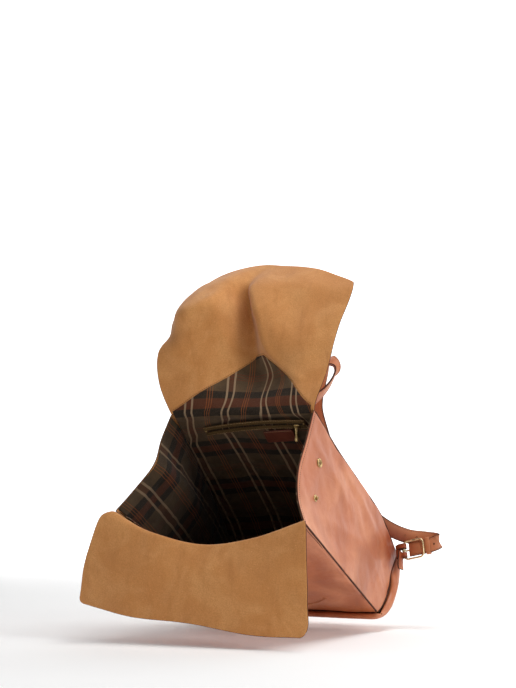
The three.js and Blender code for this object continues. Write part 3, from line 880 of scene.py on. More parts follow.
def row_tree():
    """A node tree that sets small pieces in a row along a line: stitches, or the coils of a zip."""
    name = "Row along a line"
    if name in bpy.data.node_groups:
        return bpy.data.node_groups[name]
    tree = bpy.data.node_groups.new(name, "GeometryNodeTree")
    sockets = [
        ("Line", "NodeSocketGeometry"),
        ("Pitch", "NodeSocketFloat"),
        ("Length", "NodeSocketFloat"),
        ("Width", "NodeSocketFloat"),
        ("Height", "NodeSocketFloat"),
        ("Zigzag", "NodeSocketFloat"),
        ("Tilt", "NodeSocketFloat"),
        ("Seed", "NodeSocketInt"),
        ("Finish", "NodeSocketMaterial"),
    ]
    for label, kind in sockets:
        tree.interface.new_socket(label, in_out="INPUT", socket_type=kind)
    tree.interface.new_socket("Pieces", in_out="OUTPUT", socket_type="NodeSocketGeometry")

    def add(kind, inputs=None, **settings):
        node = tree.nodes.new(kind)
        for key, value in settings.items():
            setattr(node, key, value)
        for key, value in (inputs or {}).items():
            if isinstance(value, bpy.types.NodeSocket):
                tree.links.new(value, node.inputs[key])
            else:
                node.inputs[key].default_value = value
        return node

    group = add("NodeGroupInput").outputs
    curve = add("GeometryNodeMeshToCurve", {"Mesh": group["Line"]})
    points = add(
        "GeometryNodeResampleCurve", {"Curve": curve.outputs[0], "Length": group["Pitch"]}, mode="LENGTH"
    )
    tangent = add("GeometryNodeInputTangent").outputs[0]
    lift = add("GeometryNodeInputNamedAttribute", {"Name": "lift"}, data_type="FLOAT_VECTOR").outputs[0]
    index = add("GeometryNodeInputIndex").outputs[0]
    parity = add("ShaderNodeMath", {0: index, 1: 2.0}, operation="MODULO")
    sign = add("ShaderNodeMath", {0: parity.outputs[0], 1: 2.0, 2: -1.0}, operation="MULTIPLY_ADD")
    sideways = add("ShaderNodeMath", {0: sign.outputs[0], 1: group["Zigzag"]}, operation="MULTIPLY")
    across = add("ShaderNodeVectorMath", {0: tangent, 1: lift}, operation="CROSS_PRODUCT")
    offset = add("ShaderNodeVectorMath", {0: across.outputs[0]}, operation="SCALE")
    tree.links.new(sideways.outputs[0], offset.inputs["Scale"])
    moved = add("GeometryNodeSetPosition", {"Geometry": points.outputs[0], "Offset": offset.outputs[0]})
    first = add("FunctionNodeAlignRotationToVector", {"Vector": tangent}, axis="X")
    second = add(
        "FunctionNodeAlignRotationToVector",
        {"Rotation": first.outputs[0], "Vector": lift},
        axis="Z",
        pivot_axis="X",
    )
    low = add("ShaderNodeMath", {0: group["Tilt"], 1: -1.0}, operation="MULTIPLY")
    random = add(
        "FunctionNodeRandomValue", {
            2: low.outputs[0], 3: group["Tilt"], "Seed": group["Seed"]
        }, data_type="FLOAT"
    )
    turn = add("ShaderNodeCombineXYZ", {2: random.outputs[1]})
    rotation = add("FunctionNodeEulerToRotation", {0: turn.outputs[0]})
    turned = add(
        "FunctionNodeRotateRotation",
        {"Rotation": second.outputs[0], "Rotate By": rotation.outputs[0]},
        rotation_space="LOCAL",
    )
    size = add("ShaderNodeCombineXYZ", {0: group["Length"], 1: group["Width"], 2: group["Height"]})
    bead = add("GeometryNodeMeshUVSphere", {"Segments": 8, "Rings": 5, "Radius": 0.5})
    placed = add(
        "GeometryNodeInstanceOnPoints",
        {
            "Points": moved.outputs[0],
            "Instance": bead.outputs[0],
            "Rotation": turned.outputs[0],
            "Scale": size.outputs[0],
        },
    )
    real = add("GeometryNodeRealizeInstances", {0: placed.outputs[0]})
    finished = add("GeometryNodeSetMaterial", {"Geometry": real.outputs[0], "Material": group["Finish"]})
    shaded = add("GeometryNodeSetShadeSmooth", {"Geometry": finished.outputs[0]})
    add("NodeGroupOutput", {0: shaded.outputs[0]})
    return tree


def row_of(name, lines, finish, pitch, length, width, height, zigzag=0.0, tilt=0.08, seed=1):
    """Pieces in rows along lines, each a pair (points, lift directions) in bag millimetres; sizes in mm."""
    tree = row_tree()
    points, lifts, edges = [], [], []
    for line, lift in lines:
        start = len(points)
        points += to_row(line).tolist()
        lifts += unit(np.broadcast_to(lift, (len(line), 3))).tolist()
        edges += [(start + i, start + i + 1) for i in range(len(line) - 1)]
    mesh = bpy.data.meshes.new(name + "_line")
    mesh.from_pydata(points, edges, [])
    attribute = mesh.attributes.new("lift", "FLOAT_VECTOR", "POINT")
    attribute.data.foreach_set("vector", np.array(lifts, np.float32).ravel())
    holder = bpy.data.objects.new(name, mesh)
    bpy.context.collection.objects.link(holder)
    modifier = holder.modifiers.new("Row", "NODES")
    modifier.node_group = tree
    values = {
        "Pitch": pitch * MM,
        "Length": length * MM,
        "Width": width * MM,
        "Height": height * MM,
        "Zigzag": zigzag * MM,
        "Tilt": tilt,
        "Seed": seed,
        "Finish": finish,
    }
    for item in tree.interface.items_tree:
        if item.in_out == "INPUT" and item.name in values:
            modifier[item.identifier] = values[item.name]
    bpy.context.view_layer.update()
    evaluated = holder.evaluated_get(bpy.context.evaluated_depsgraph_get())
    real = bpy.data.meshes.new_from_object(evaluated)
    if not real.polygons:
        raise RuntimeError(f"{name} came out empty")
    holder.modifiers.remove(modifier)
    holder.data = real
    bpy.data.meshes.remove(mesh)
    real.name = name
    real.materials.clear()
    real.materials.append(finish)
    real.polygons.foreach_set("material_index", np.zeros(len(real.polygons), np.int32))
    return holder


def stitches(name, lines, finish, settings, seed=1, size=1.0):
    return row_of(
        name,
        lines,
        finish,
        settings.stitch_pitch * 1000 * size,
        settings.stitch_length * 1000 * size,
        settings.thread_width * 1000 * size,
        settings.thread_width * 800 * size,
        seed=seed + settings.seed,
    )


# ---------------------------------------------------------------- leather shell

COLUMNS = 150


def leather_panel(grid, side, rolls, thickness=LEATHER, depth=2.4, width=3.4):
    """Turns the edges named in rolls (of u0 u1 v0 v1) in towards their seams.

    The face stays on the grid.
    """
    normal = grid_normals(grid) * side
    distances = dict(zip(("u0", "u1", "v0", "v1"), edge_distances(grid)))
    turn = np.zeros(grid.shape[:2])
    for edge, share in rolls.items():
        turn = np.maximum(turn, rolled_in(distances[edge], width, depth) * share)
    return grid - normal * (turn + thickness / 2)[..., None]


SHEETS = {}
MAIN_ROWS = 290


def main_sheet(settings):
    """The middle surface of the back panel and main flap as one grid, and the row of its fold line."""
    if "main" in SHEETS:
        return SHEETS["main"]
    u = np.linspace(0.008, 0.992, COLUMNS)
    flap_u = np.linspace(0, 1, COLUMNS)
    panel = BACK(u, [0.012, 0.12, 0.25, 0.4, 0.55, 0.7, 0.82, 0.9, 0.955])
    rows = np.concatenate([panel, flap_rows(MAIN_FLAP, flap_u)])
    reach = np.linalg.norm(np.diff(rows, axis=0), axis=2).mean(1)
    fold_row = reach[: len(panel)].sum() / reach.sum() * (MAIN_ROWS - 1)
    grid = loft(rows, MAIN_ROWS)
    grid = corners_rounded(grid, [(True, 12, 12), (False, 8, 8)])
    height = grid[..., 2]
    on_flap = smooth(height, 302, 350)
    normal = grid_normals(grid)
    form = ripples(grid, 95, settings.seed + 3) * 1.1 + ripples(grid, 38, settings.seed + 4) * 0.35
    fold = [(0, 2, 482), (12, -12, 456), (22, -18, 430), (32, -18, 398), (50, -16, 372), (84, -22, 345)]
    form += crease(grid, fold, 6, 3.0)
    form += crease(grid, [(-100, -50, 416), (-62, -62, 446), (-42, -40, 464), (-30, -4, 490)], 8, 2.4)
    form += crease(grid, [(60, 30, 500), (80, 12, 450), (96, -6, 390)], 16, 1.6)
    grid = grid + normal * (form * on_flap)[..., None]
    left, right, _, _ = edge_distances(grid)
    seam = np.maximum(rolled_in(left, 3.4, 2.4), rolled_in(right, 3.4, 2.4)) * (1 - smooth(height, 280, 300))
    grid = grid + normal * (seam + (1 - on_flap) * LEATHER / 2)[..., None]
    SHEETS["main"] = grid, fold_row
    return SHEETS["main"]


def build_back_and_flap(settings, looks):
    grid, _ = main_sheet(settings)
    piece = make(
        "back_and_main_flap",
        [sheet_shell(grid, LEATHER - 0.2, -1)],
        [looks.body, looks.suede, looks.cut_edge],
    )
    settle(piece, fold=MAIN_FOLD, stands_for=("back_panel", "main_flap"))


def front_fold_rows(panel_edge, flap_top):
    """Two rows that carry the leather over from the mouth's front edge to the flap that hangs from it."""
    over = vec(0, -0.35, 0.94)
    return np.stack(
        [
            panel_edge + (flap_top - panel_edge) * 0.22 + over * 3.2,
            panel_edge + (flap_top - panel_edge) * 0.68 + over * 3.6,
        ]
    )


def build_front_and_flap(settings, looks):
    u = np.linspace(0.008, 0.992, COLUMNS)
    flap_u = np.linspace(0, 1, COLUMNS)
    panel = FRONT(u, [0.012, 0.12, 0.25, 0.4, 0.55, 0.7, 0.82, 0.92, 0.98, 1.0])
    flap = flap_rows(FRONT_FLAP, flap_u)
    rows = np.concatenate([panel, front_fold_rows(panel[-1], flap[0]), flap])
    grid = loft(rows, 260)
    grid = corners_rounded(grid, [(True, 15, 15), (False, 7, 7)])
    along = np.linspace(0, 1, 260)[:, None] * np.ones((1, COLUMNS))
    reach = np.linalg.norm(np.diff(rows, axis=0), axis=2).mean(1)
    fold_at = reach[: len(panel) - 1].sum() / reach.sum()
    on_flap = smooth(along, fold_at + 0.03, fold_at + 0.16)
    normal = grid_normals(grid)
    form = ripples(grid, 80, settings.seed + 5) * 0.9 + ripples(grid, 34, settings.seed + 6) * 0.3
    form += crease(grid, [(-150, -158, 108), (-70, -156, 96), (0, -146, 92)], 15, 1.8)
    form += crease(grid, [(138, -134, 60), (90, -143, 50), (30, -146, 46)], 14, -1.8)
    panel_form = ripples(grid, 60, settings.seed + 7) * 0.8
    panel_form += crease(grid, [(96, 90, 36), (100, 20, 62), (112, -50, 95)], 12, -1.5)
    form = form * on_flap + panel_form * (1 - smooth(along, fold_at - 0.12, fold_at - 0.02))
    grid = grid - normal * form[..., None] * 1.0
    before = 1 - smooth(along, fold_at - 0.05, fold_at)
    left, right, start, _ = edge_distances(grid)
    seam = np.maximum(rolled_in(left, 3.4, 2.4), rolled_in(right, 3.4, 2.4)) * before
    seam = np.maximum(seam, rolled_in(start, 3.4, 2.4))
    grid = grid - normal * (seam + before * LEATHER / 2)[..., None]
    piece = make(
        "front_and_front_flap",
        [sheet_shell(grid, LEATHER - 0.2, 1)],
        [looks.body, looks.suede, looks.cut_edge],
    )
    settle(piece, fold=FRONT_FOLD, stands_for=("front_panel", "front_flap"))


# Soft creases on the right gusset: points in y and z, width and depth in millimetres
GUSSET_CREASES = [
    ([(-40, 262), (0, 226), (36, 188), (66, 150)], 9, 1.5),
    ([(20, 240), (58, 200), (92, 158), (104, 130)], 8, -1.3),
    ([(60, 210), (98, 176), (126, 140), (138, 112)], 8, 1.4),
    ([(96, 186), (122, 160), (150, 132), (170, 112)], 7, -1.1),
    ([(-92, 160), (-20, 148), (50, 128), (100, 108), (146, 78)], 9, 1.6),
    ([(-60, 130), (10, 118), (80, 96), (128, 66)], 11, -1.5),
    ([(118, 92), (140, 66), (160, 38)], 7, 1.3),
    ([(150, 108), (162, 80), (172, 56), (182, 36)], 8, -1.2),
    ([(170, 118), (188, 96), (196, 74)], 8, 1.2),
]


def gusset_grid(s, settings, rows=170, columns=110):
    u = np.linspace(0.006, 0.994, columns)
    v = np.linspace(0.010, 1.0, rows)
    grid = SIDE[s](u, v)
    normal = grid_normals(grid) * s
    mouth = edge_distances(grid)[3]
    calm = smooth(mouth, 2, 22)
    form = ripples(grid, 62, settings.seed + 11 + s) * 0.9 + ripples(grid, 24, settings.seed + 14 + s) * 0.22
    for points, width, depth in GUSSET_CREASES:
        route = [(s * 128, y, z) for y, z in points]
        flat = grid.copy()
        flat[..., 0] = s * 128
        form += crease(flat, route, width, depth)
    return grid + normal * (form * calm)[..., None]


def build_gussets(settings, looks):
    for s, side in ((-1, "left"), (1, "right")):
        grid = gusset_grid(s, settings)
        shaped = leather_panel(grid, s, {"u0": 1, "u1": 1, "v0": 1})
        normal = grid_normals(shaped) * s
        mouth = edge_distances(shaped)[3]
        shaped = shaped - normal * (np.exp(-(((mouth - 5.5) / 1.6) ** 2)) * 0.35)[..., None]
        piece = make(
            f"{side}_gusset_leather",
            [sheet_shell(shaped, LEATHER - 0.2, s)],
            [looks.body, looks.suede, looks.dark_edge_and_shade],
        )
        settle(piece, "shell", stands_for=(f"{side}_gusset",))


BASE_ACROSS = [(-139.5, 0.0), (-147, 0.3), (-147, 0.65), (-136, 0.93), (-110, 1.0), (-55, 1.0), (0, 1.0)]


def base_profile(t):
    """The base's middle section, from the front seam under the bag and up to its back seam, at shares t."""
    front = [
        vec(0, 145, 9.5), vec(0, 138, 7.5), vec(0, 136.4, 4), vec(0, 139, 1.2), vec(0, 144, 0.2),
        vec(0, 157, 0.2)
    ]
    bow = [vec(0, y, z) for y, z in zip(*bottom_bow(np.linspace(0.12, 1, 9)))]
    back = [vec(0, 232.3, 90.6), vec(0, 229.6, 91.8)]
    return even(spline(np.array(front + bow + back), np.linspace(0, 1, 200)), len(t))


def bottom_bow(t):
    y = 158 * (1 - t) ** 2 + 448 * t * (1 - t) + 233 * t**2
    z = 32 * t * (1 - t) + 88 * t**2
    return y, z + 0.2


def build_base(settings, looks):
    t = np.linspace(0, 1, 130)
    middle = base_profile(t)
    swell = np.sin(np.pi * np.clip(t, 0, 1)) ** 0.7
    columns = []
    plan = BASE_ACROSS + [(-x, share) for x, share in BASE_ACROSS[-2::-1]]
    for x, share in plan:
        side = -1 if x < 0 else 1
        seam = BASE_SIDE[side](t)
        reach = abs(x)
        if share < 0.9 and share > 0:
            reach = 139.5 + (reach - 139.5) * swell
        point = seam * (1 - share) + middle * share
        point[:, 0] = side * reach if x else 0
        columns.append(point)
    grid = np.swapaxes(loft(np.stack(columns), 190), 0, 1)
    normal = grid_normals(grid)
    outward = 1 if normal[60, 95, 2] < 0 else -1
    form = ripples(grid, 48, settings.seed + 21) * 0.7 * smooth(grid[..., 2], 6, 30)
    grid = grid + normal * outward * form[..., None]
    shaped = leather_panel(grid, outward, {"u0": 1, "u1": 1, "v1": 0.3})
    shaped[..., 2] = np.maximum(shaped[..., 2], LEATHER / 2)
    piece = make(
        "base_leather", [sheet_shell(shaped, LEATHER - 0.2, outward)], [
            looks.body, looks.suede, looks.cut_edge
        ]
    )
    settle(piece, "shell", stands_for=("base_panel",))


def inset_line(route, toward, amount):
    route = np.asarray(route, float)
    return route + unit(toward - route) * amount


def build_seam_cores(settings, looks):
    """Dark cords that lie down in the grooves between the panels and close them, like welting; their dark
    colour is painted shade of the grooves.
    """
    t = np.linspace(0, 1, 70)
    inside = vec(0, 60, 150)
    shells = []
    for s in (-1, 1):
        for route in (FRONT_SIDE[s](t), BACK_SIDE[s](t), BASE_SIDE[s](t)):
            shells.append(tube(inset_line(route, inside, 2.6)[1:-1], 1.35, 10))
    shells.append(tube(inset_line(straight(BASE_FRONT[-1], BASE_FRONT[1])(t), inside, 2.4)[1:-1], 1.3, 10))
    shells.append(tube(inset_line(straight(BASE_BACK[-1], BASE_BACK[1])(t), inside, 2.4)[1:-1], 1.3, 10))
    # painted shade: the dark cords stand for the shade in the seam grooves
    settle(make("seam_welting", shells, [looks.dark_edge_and_shade]), "shell")


def build_front_welt(settings, looks):
    """The raised cord around the front pocket's opening, and its bar tacks."""
    u = np.linspace(0.22, 0.79, 90)
    v = 0.135 + 0.105 * np.abs((u - 0.5) / 0.29) ** 3
    grid = FRONT(u, v)
    route = np.array([grid[i, i] for i in range(len(u))])
    out = unit(vec(0, -0.42, -0.91))
    shells = [tube(route + out * 1.1, 1.25, 10)]
    for end, before in ((0, 3), (-1, -4)):
        way = unit(route[end] - route[before])
        cross = np.cross(way, out)
        bar = np.linspace(-3.2, 3.2, 9)[:, None] * cross + route[end] + out * 0.7
        shells.append(tube(bar, 0.8, 8))
    piece = make("front_pocket_cord", shells, [looks.strap])
    settle(piece, "shell", stands_for=("front_pocket_welt",))


# ---------------------------------------------------------------- lining


def lining_piece(name, grid, side, material, fold=None, stands_for=(), flat=None):
    piece = make(name, [sheet_shell(grid, CLOTH, side, flat=flat, slots=(0, 0, 0))], [material])
    settle(piece, "shell", fold, stands_for)
    return piece


def wall(panel, side, u, v, deep, shallow, amount, seed):
    """A lining wall: well inside the leather, drawn up to it at the mouth, with low wrinkles."""
    grid = panel(u, v)
    normal = grid_normals(grid) * side
    near_mouth = smooth(v, 0.93, 1.0)[:, None]
    depth = deep + (shallow - deep) * near_mouth
    form = (ripples(grid, 46, seed) * 0.8 + np.abs(ripples(grid, 30, seed + 1))) * amount
    return grid - normal * (depth + form * (1 - near_mouth))[..., None]


def build_lining(settings, looks):
    long_v = np.linspace(0.03, 0.998, 150)
    front = wall(FRONT, 1, np.linspace(0.022, 0.978, 110), long_v, 5.4, 3.2, 0.7, 31)
    lining_piece(
        "front_lining", front, 1, looks.plaid,
        stands_for=("lining_front",)
    )
    for s, side in ((-1, "left"), (1, "right")):
        grid = wall(
            SIDE[s], s, np.linspace(0.035, 0.965, 90), np.linspace(0.05, 1.0, 150), 5.4, 2.5, 0.9, 33 + s
        )
        if s < 0:
            normal = grid_normals(grid)
            pleat = [(-106, -84, 222), (-112, -10, 190), (-122, 60, 150)]
            grid = grid + normal * (crease(grid, pleat, 16, 7) + crease(grid, pleat, 5, 2))[..., None]
        flat = np.stack([lengths(grid, 1), 52 - edge_distances(grid)[3]], -1)
        # The left wall takes the darker plaid copy: painted shade
        lining_piece(
            f"{side}_lining", grid, s, looks.shaded_side_plaid if s < 0 else looks.plaid,
            stands_for=(f"lining_{side}",), flat=flat,
        )
    t = np.linspace(0.2, 1, 60)
    y, z = bottom_bow(t)
    line = np.stack([np.zeros_like(y), y, z], 1)
    across = np.linspace(-131, 131, 90)
    base = np.repeat(line[:, None], len(across), 1)
    base[..., 0] = across
    normal = grid_normals(base)
    outward = 1 if normal[20, 45, 2] < 0 else -1
    base = base - normal * outward * 5.6
    lining_piece(
        "bottom_lining", base, outward, looks.plaid,
        stands_for=("lining_base",)
    )


PEAK_LEFT, PEAK_RIGHT, PEAK_HIGH = 0.53, 0.64, 0.325


def peak_v(u):
    """How far up the flap the back lining reaches: an upside-down V with a short flat top."""
    rise = np.minimum(np.minimum(u / PEAK_LEFT, (1 - u) / (1 - PEAK_RIGHT)), 1)
    return 0.012 + (PEAK_HIGH - 0.012) * (0.2 * smooth(rise) + 0.8 * rise)


def flap_at(settings, u, v, lift):
    """Points on the main flap, v from its fold line up, lifted off the middle of its leather."""
    grid, fold_row = main_sheet(settings)
    rows = fold_row + np.asarray(v) * (MAIN_ROWS - 1 - fold_row)
    columns = np.asarray(u) * (COLUMNS - 1)
    return sampled(grid, rows, columns) + unit(sampled(grid_normals(grid), rows, columns)) * lift


def build_back_lining(settings, looks):
    grid, fold_row = main_sheet(settings)
    u = np.linspace(0.02, 0.98, 130)
    count, start = 240, 0.035 * fold_row
    last = fold_row + peak_v(u) * (MAIN_ROWS - 1 - fold_row)
    share = np.linspace(0, 1, count)[:, None]
    rows = start + share * (last[None, :] - start)
    columns = np.broadcast_to(u * (COLUMNS - 1), rows.shape)
    place, normal = sampled(grid, rows, columns), unit(sampled(grid_normals(grid), rows, columns))
    drawn_up = smooth(rows, fold_row - 22, fold_row + 4)
    lift = 5.6 + (LEATHER / 2 + CLOTH / 2 + 0.5 - 5.6) * drawn_up
    calm = 1 - smooth(place[..., 2], 225, 262)
    form = ripples(place, 44, 41) * 0.9 + np.abs(ripples(place, 28, 42)) * 0.7
    lining = place + normal * (lift + form * calm + np.abs(ripples(place, 26, 43)) * 0.25)[..., None]
    height = lengths(lining, 0, 0)
    at_fold = np.array([np.interp(fold_row, rows[:, i], height[:, i]) for i in range(len(u))])
    flat = np.stack([lengths(lining, 1), height - at_fold], -1)
    lining_piece(
        "back_lining", lining, -1, looks.plaid,
        fold=MAIN_FOLD, stands_for=("lining_back", "lining_peak"), flat=flat,
    )


def build_pocket_bag(settings, looks):
    grid = BACK(np.linspace(0.2, 0.86, 60), np.linspace(0.62, 0.93, 50))
    normal = -grid_normals(grid)
    form = np.sin(np.pi * np.linspace(0, 1, 60))[None] * np.sin(np.pi * np.linspace(0, 1, 50))[:, None]
    grid = grid - normal * (3.6 + form * 0.4)[..., None]
    lining_piece(
        "pocket_lining", grid, -1, looks.plaid, stands_for=("pocket_bag",)
    )


# ---------------------------------------------------------------- zip pocket

ZIP_LEFT, ZIP_RIGHT = vec(-60, -22, 273.5), vec(92, -26, 280.5)
ZIP_ALONG = unit(ZIP_RIGHT - ZIP_LEFT)
ZIP_DOWN = unit(vec(0, 0.78, -0.62))
ZIP_INWARD = unit(np.cross(ZIP_DOWN, ZIP_ALONG))
ZIP_MIDDLE = (ZIP_LEFT + ZIP_RIGHT) / 2
ZIP_LENGTH = float(np.linalg.norm(ZIP_RIGHT - ZIP_LEFT))


def zip_place(along, down, inward):
    """A place on the zip: the tape bows up by a few millimetres between its fixed ends."""
    rise = 6.0 * (1 - (np.asarray(along) / (ZIP_LENGTH / 2)) ** 2)
    return ZIP_MIDDLE + ZIP_ALONG * along + ZIP_DOWN * (down - rise) + ZIP_INWARD * (inward + rise * 0.12)


def zip_sheet(width, height, down, inward, wave, seed, columns=120, rows=12):
    x = np.linspace(-width / 2, width / 2, columns)
    y = np.linspace(-height / 2, height / 2, rows)
    grid = zip_place(x[None, :, None], (y[:, None, None] + down), inward)
    return grid + ZIP_INWARD * (ripples(grid, 22, seed) * wave)[..., None]


def build_zip(settings, looks):
    for name, down, seed in (("upper", -5.4, 51), ("lower", 5.4, 52)):
        grid = zip_sheet(ZIP_LENGTH + 8, 6.6, down, 0, 0.12, seed)
        piece = make(f"zip_tape_{name}_woven", [sheet_shell(grid, 0.7, 1)], [looks.tape])
        settle(piece, "shell", stands_for=(f"zip_tape_{name}",))
        line = zip_place(np.linspace(-ZIP_LENGTH / 2 - 3, ZIP_LENGTH / 2 + 3, 40)[:, None], down * 1.42, 0.45)
        sewn = stitches(f"zip_stitches_{name}", [(line, ZIP_INWARD)], looks.pale_thread, settings, seed, 0.8)
        settle(sewn, "shell")
    line = zip_place(np.linspace(-ZIP_LENGTH / 2 + 1, ZIP_LENGTH / 2 - 1, 60)[:, None], 0, 0.2)
    coil = row_of(
        "zip_coil_turns", [(
            line, ZIP_INWARD
        )], looks.coil, settings.zip_pitch * 1000, 0.85, 2.6, 1.5, 0.75, 0.0, 7
    )
    settle(coil, "shell", stands_for=("zip_coil",))
    for name, side in (("left", -1), ("right", 1)):
        outline = rounded_rectangle(2.6, 4.4, 0.8)
        stop = plate(outline, 1.7, zip_place(side * (ZIP_LENGTH / 2 + 1.7), 0, 0.4), ZIP_ALONG, ZIP_DOWN, 0.4)
        settle(
            make(f"zip_stop_{name}_clamp", [stop], [looks.brass]), "shell",
            stands_for=(f"zip_stop_{name}",)
        )
    at = ZIP_LENGTH / 2 - 9
    body = [(-4.4, -2.1), (-3.2, -3.2), (-0.5, -3.4), (3.4, -2.6), (4.5, -1.4)]
    outline = np.array(body + [(x, -y) for x, y in body[::-1]])
    shells = [plate(outline, 1.0, zip_place(at, 1.4, 2.6), ZIP_ALONG, ZIP_DOWN, 0.3)]
    bridge = np.array([(-2.6, 1.1), (-2.0, 2.1), (0.0, 2.5), (2.2, 2.1), (2.9, 1.1)])
    route = spline(np.array([zip_place(at + x, 1.4, 2.0 + y) for x, y in bridge]), np.linspace(0, 1, 17))
    side, up = frames(route, np.broadcast_to(ZIP_DOWN, route.shape))
    shells.append(swept(route, side, up, strap_outline(2.0, 0.7)))
    settle(
        make("zip_slider_cast", shells, [looks.brass]), "zip_slider",
        stands_for=("zip_slider",)
    )
    low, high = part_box("zip_pull")
    middle = (np.array(low) + np.array(high)) / 2 / MM - ROW_SHIFT
    down = vec(0, 0, -1)
    outline = np.array(
        [(0, -9.6), (1.6, -9.2), (2.1, -8), (1.7, -4), (1.5, 0), (2.2, 5), (2.5, 7.8), (1.8, 9.4), (0, 10)]
    )
    outline = np.concatenate([outline, outline[-2:0:-1] * vec(-1, 1)])
    shells = [plate(outline, 1.1, middle, unit(np.cross(down, vec(0, 1, 0))), down, 0.35)]
    turn = np.linspace(0, 2 * np.pi, 24, endpoint=False)
    ring = middle + vec(0, 0, 9.9) + np.stack([np.zeros(24), np.cos(turn) * 1.5, np.sin(turn) * 1.7], 1)
    shells.append(tube(ring, 0.45, 8, closed=True))
    settle(make("zip_pull_tag", shells, [looks.brass]), "zip_pull", stands_for=("zip_pull",))


def build_label(settings, looks):
    """A blank leather label with a pressed border and one sewn edge."""
    centre = ZIP_MIDDLE + ZIP_ALONG * 34 + ZIP_DOWN * 19 + ZIP_INWARD * 0.9
    x = np.linspace(-23, 23, 90)
    y = np.linspace(-12, 12, 50)
    grid = centre + x[None, :, None] * ZIP_ALONG + y[:, None, None] * ZIP_DOWN
    grid = corners_rounded(grid, [(True, 3, 3), (False, 3, 3)])[::-1]
    grid = corners_rounded(grid, [(True, 3, 3), (False, 3, 3)])[::-1]
    inset = np.minimum.reduce(edge_distances(grid))
    pressed = np.exp(-(((inset - 2.6) / 0.45) ** 2)) * 0.4
    grid = grid + ZIP_INWARD * (0.3 + ripples(grid, 20, 61) * 0.1 - pressed)[..., None]
    piece = make("inner_label", [sheet_shell(grid, 1.2, 1)], [looks.label, looks.label, looks.dark_edge_and_shade])
    settle(piece, "shell", stands_for=("leather_label",))
    line = centre + np.linspace(-20, 20, 30)[:, None] * ZIP_ALONG - ZIP_DOWN * 9.9 + ZIP_INWARD * 1.1
    sewn = stitches("label_stitches", [(line, ZIP_INWARD)], looks.pale_thread, settings, 8, 0.7)
    settle(sewn, "shell")


# ---------------------------------------------------------------- snaps

SNAP_PLACES = {"socket": (0.7, 0.87), "stud": (0.42, 0.84)}


def build_snaps(settings, looks):
    socket = [
        (0, -0.2), (
            6.2, -0.2
        ), (6.6, 0.2), (6.6, 0.7), (6.1, 1.3), (5.4, 1.7), (4.6, 1.7), (4.0, 1.3), (3.6, 0.6),
        (3.4, 0.1), (2.9, 0.0), (2.4, 0.3), (2.0, 0.5), (1.4, 0.3), (0.8, 0.1), (0, 0.1),
    ]
    stud = [
        (0, -0.2), (
            4.8, -0.2
        ), (5.1, 0.1), (5.0, 0.5), (4.4, 0.9), (3.6, 0.8), (2.9, 0.5), (2.5, 0.9), (2.2, 1.8),
        (2.5, 2.6), (2.6, 3.1), (2.2, 3.7), (1.4, 4.0), (1.0, 3.7), (0.5, 3.5), (0, 3.5),
    ]
    cap = [(0, -0.3), (4.8, -0.3), (5.2, 0.0), (5.0, 0.5), (4.0, 1.0), (2.2, 1.3), (0, 1.4)]
    for s, side in ((-1, "left"), (1, "right")):
        grid = gusset_grid(s, settings)
        normal = grid_normals(grid) * s
        for kind, profile in (("socket", socket), ("stud", stud)):
            u, v = SNAP_PLACES[kind]
            j, i = np.array([(v - 0.01) / 0.99 * 169]), np.array([(u - 0.006) / 0.988 * 109])
            place, out = sampled(grid, j, i)[0], unit(sampled(normal, j, i)[0])
            ring = [lathed(profile, place + out * 0.15, out, 48)]
            if kind == "socket":
                # painted shade: a dark disc stands for the shade in the socket's well
                ring.append(socket_shade_disc(place + out * 0.5, out, 3.3))
            piece = make(f"{side}_{kind}_ring", ring, [looks.brass, looks.dark_edge_and_shade])
            settle(piece, "shell", stands_for=(f"{side}_snap_{kind}",))
            back = lathed(cap, place - out * (LEATHER + 1.2), -out, 40)
            piece = make(f"{side}_{kind}_back_cap", [back], [looks.brass])
            settle(piece, "shell", stands_for=(f"{side}_snap_{kind}_cap",))


def socket_shade_disc(place, out, radius):
    """A dark disc over the socket's hollow: painted shade of its well."""
    return lathed(
        [(0, -0.2), (radius, -0.2), (radius, 0.0), (radius * 0.6, -0.05), (0, -0.1)], place, out, 32, 1
    )


# ---------------------------------------------------------------- straps and buckles

STRAP_PATH = [
    (37, 14, 287), (64, 38, 308), (94, 58, 338), (
        104, 66, 362
    ), (86, 88, 380), (56, 130, 368), (38, 152, 318),
    (52, 146, 274), (72, 133, 234), (92, 138, 202), (106, 160, 172), (119, 188, 148), (136, 215, 129),
    (158, 227, 119.5), (182, 229.5, 117), (199, 227.5, 115), (206.5, 222, 112.8), (201, 216.6, 108.6),
    (186, 215.6, 104.5), (163, 215.6, 99.6),
]
STRAP_ACROSS = [
    (0.2, 0.7, -0.6), (0.1, 0.8, -0.5), (-0.2, 0.9, -0.1), (-0.3, 0.9, 0.2), (0.4, 0.6, 0.6), (0.8, 0.1, 0.4),
    (0.9, -0.2, 0.2), (0.9, -0.3, 0.3), (0.95, -0.3, 0.2), (1, -0.2, 0.2), (1, -0.1, 0.3), (0.9, -0.1, 0.4),
    (0.55, 0.1, 0.8), (0.2, 0.25, 0.93), (-0.1, 0.3, 0.94), (-0.2, 0.306, 0.93), (-0.2, 0.306, 0.93),
    (-0.2, 0.306, 0.93), (-0.2, 0.306, 0.93), (-0.2, 0.306, 0.93),
]
STRAP_WIDTH, STRAP_THICKNESS = 22, 2.6
BUCKLE_CENTRE, BUCKLE_UP, BUCKLE_OUT = vec(170.7, 212.6, 101.2), unit(vec(
    -0.198, 0.306, 0.931
)), unit(vec(0.978, 0, 0.208))
KEEPER_CENTRE = vec(193, 215.8, 106.3)
BUCKLE_LENGTH, BUCKLE_HEIGHT, WIRE = 34, 31, 3
BAR_AT = -(BUCKLE_LENGTH - WIRE) / 2


def mirrored(points, s):
    return np.asarray(points, float) * vec(s, 1, 1)


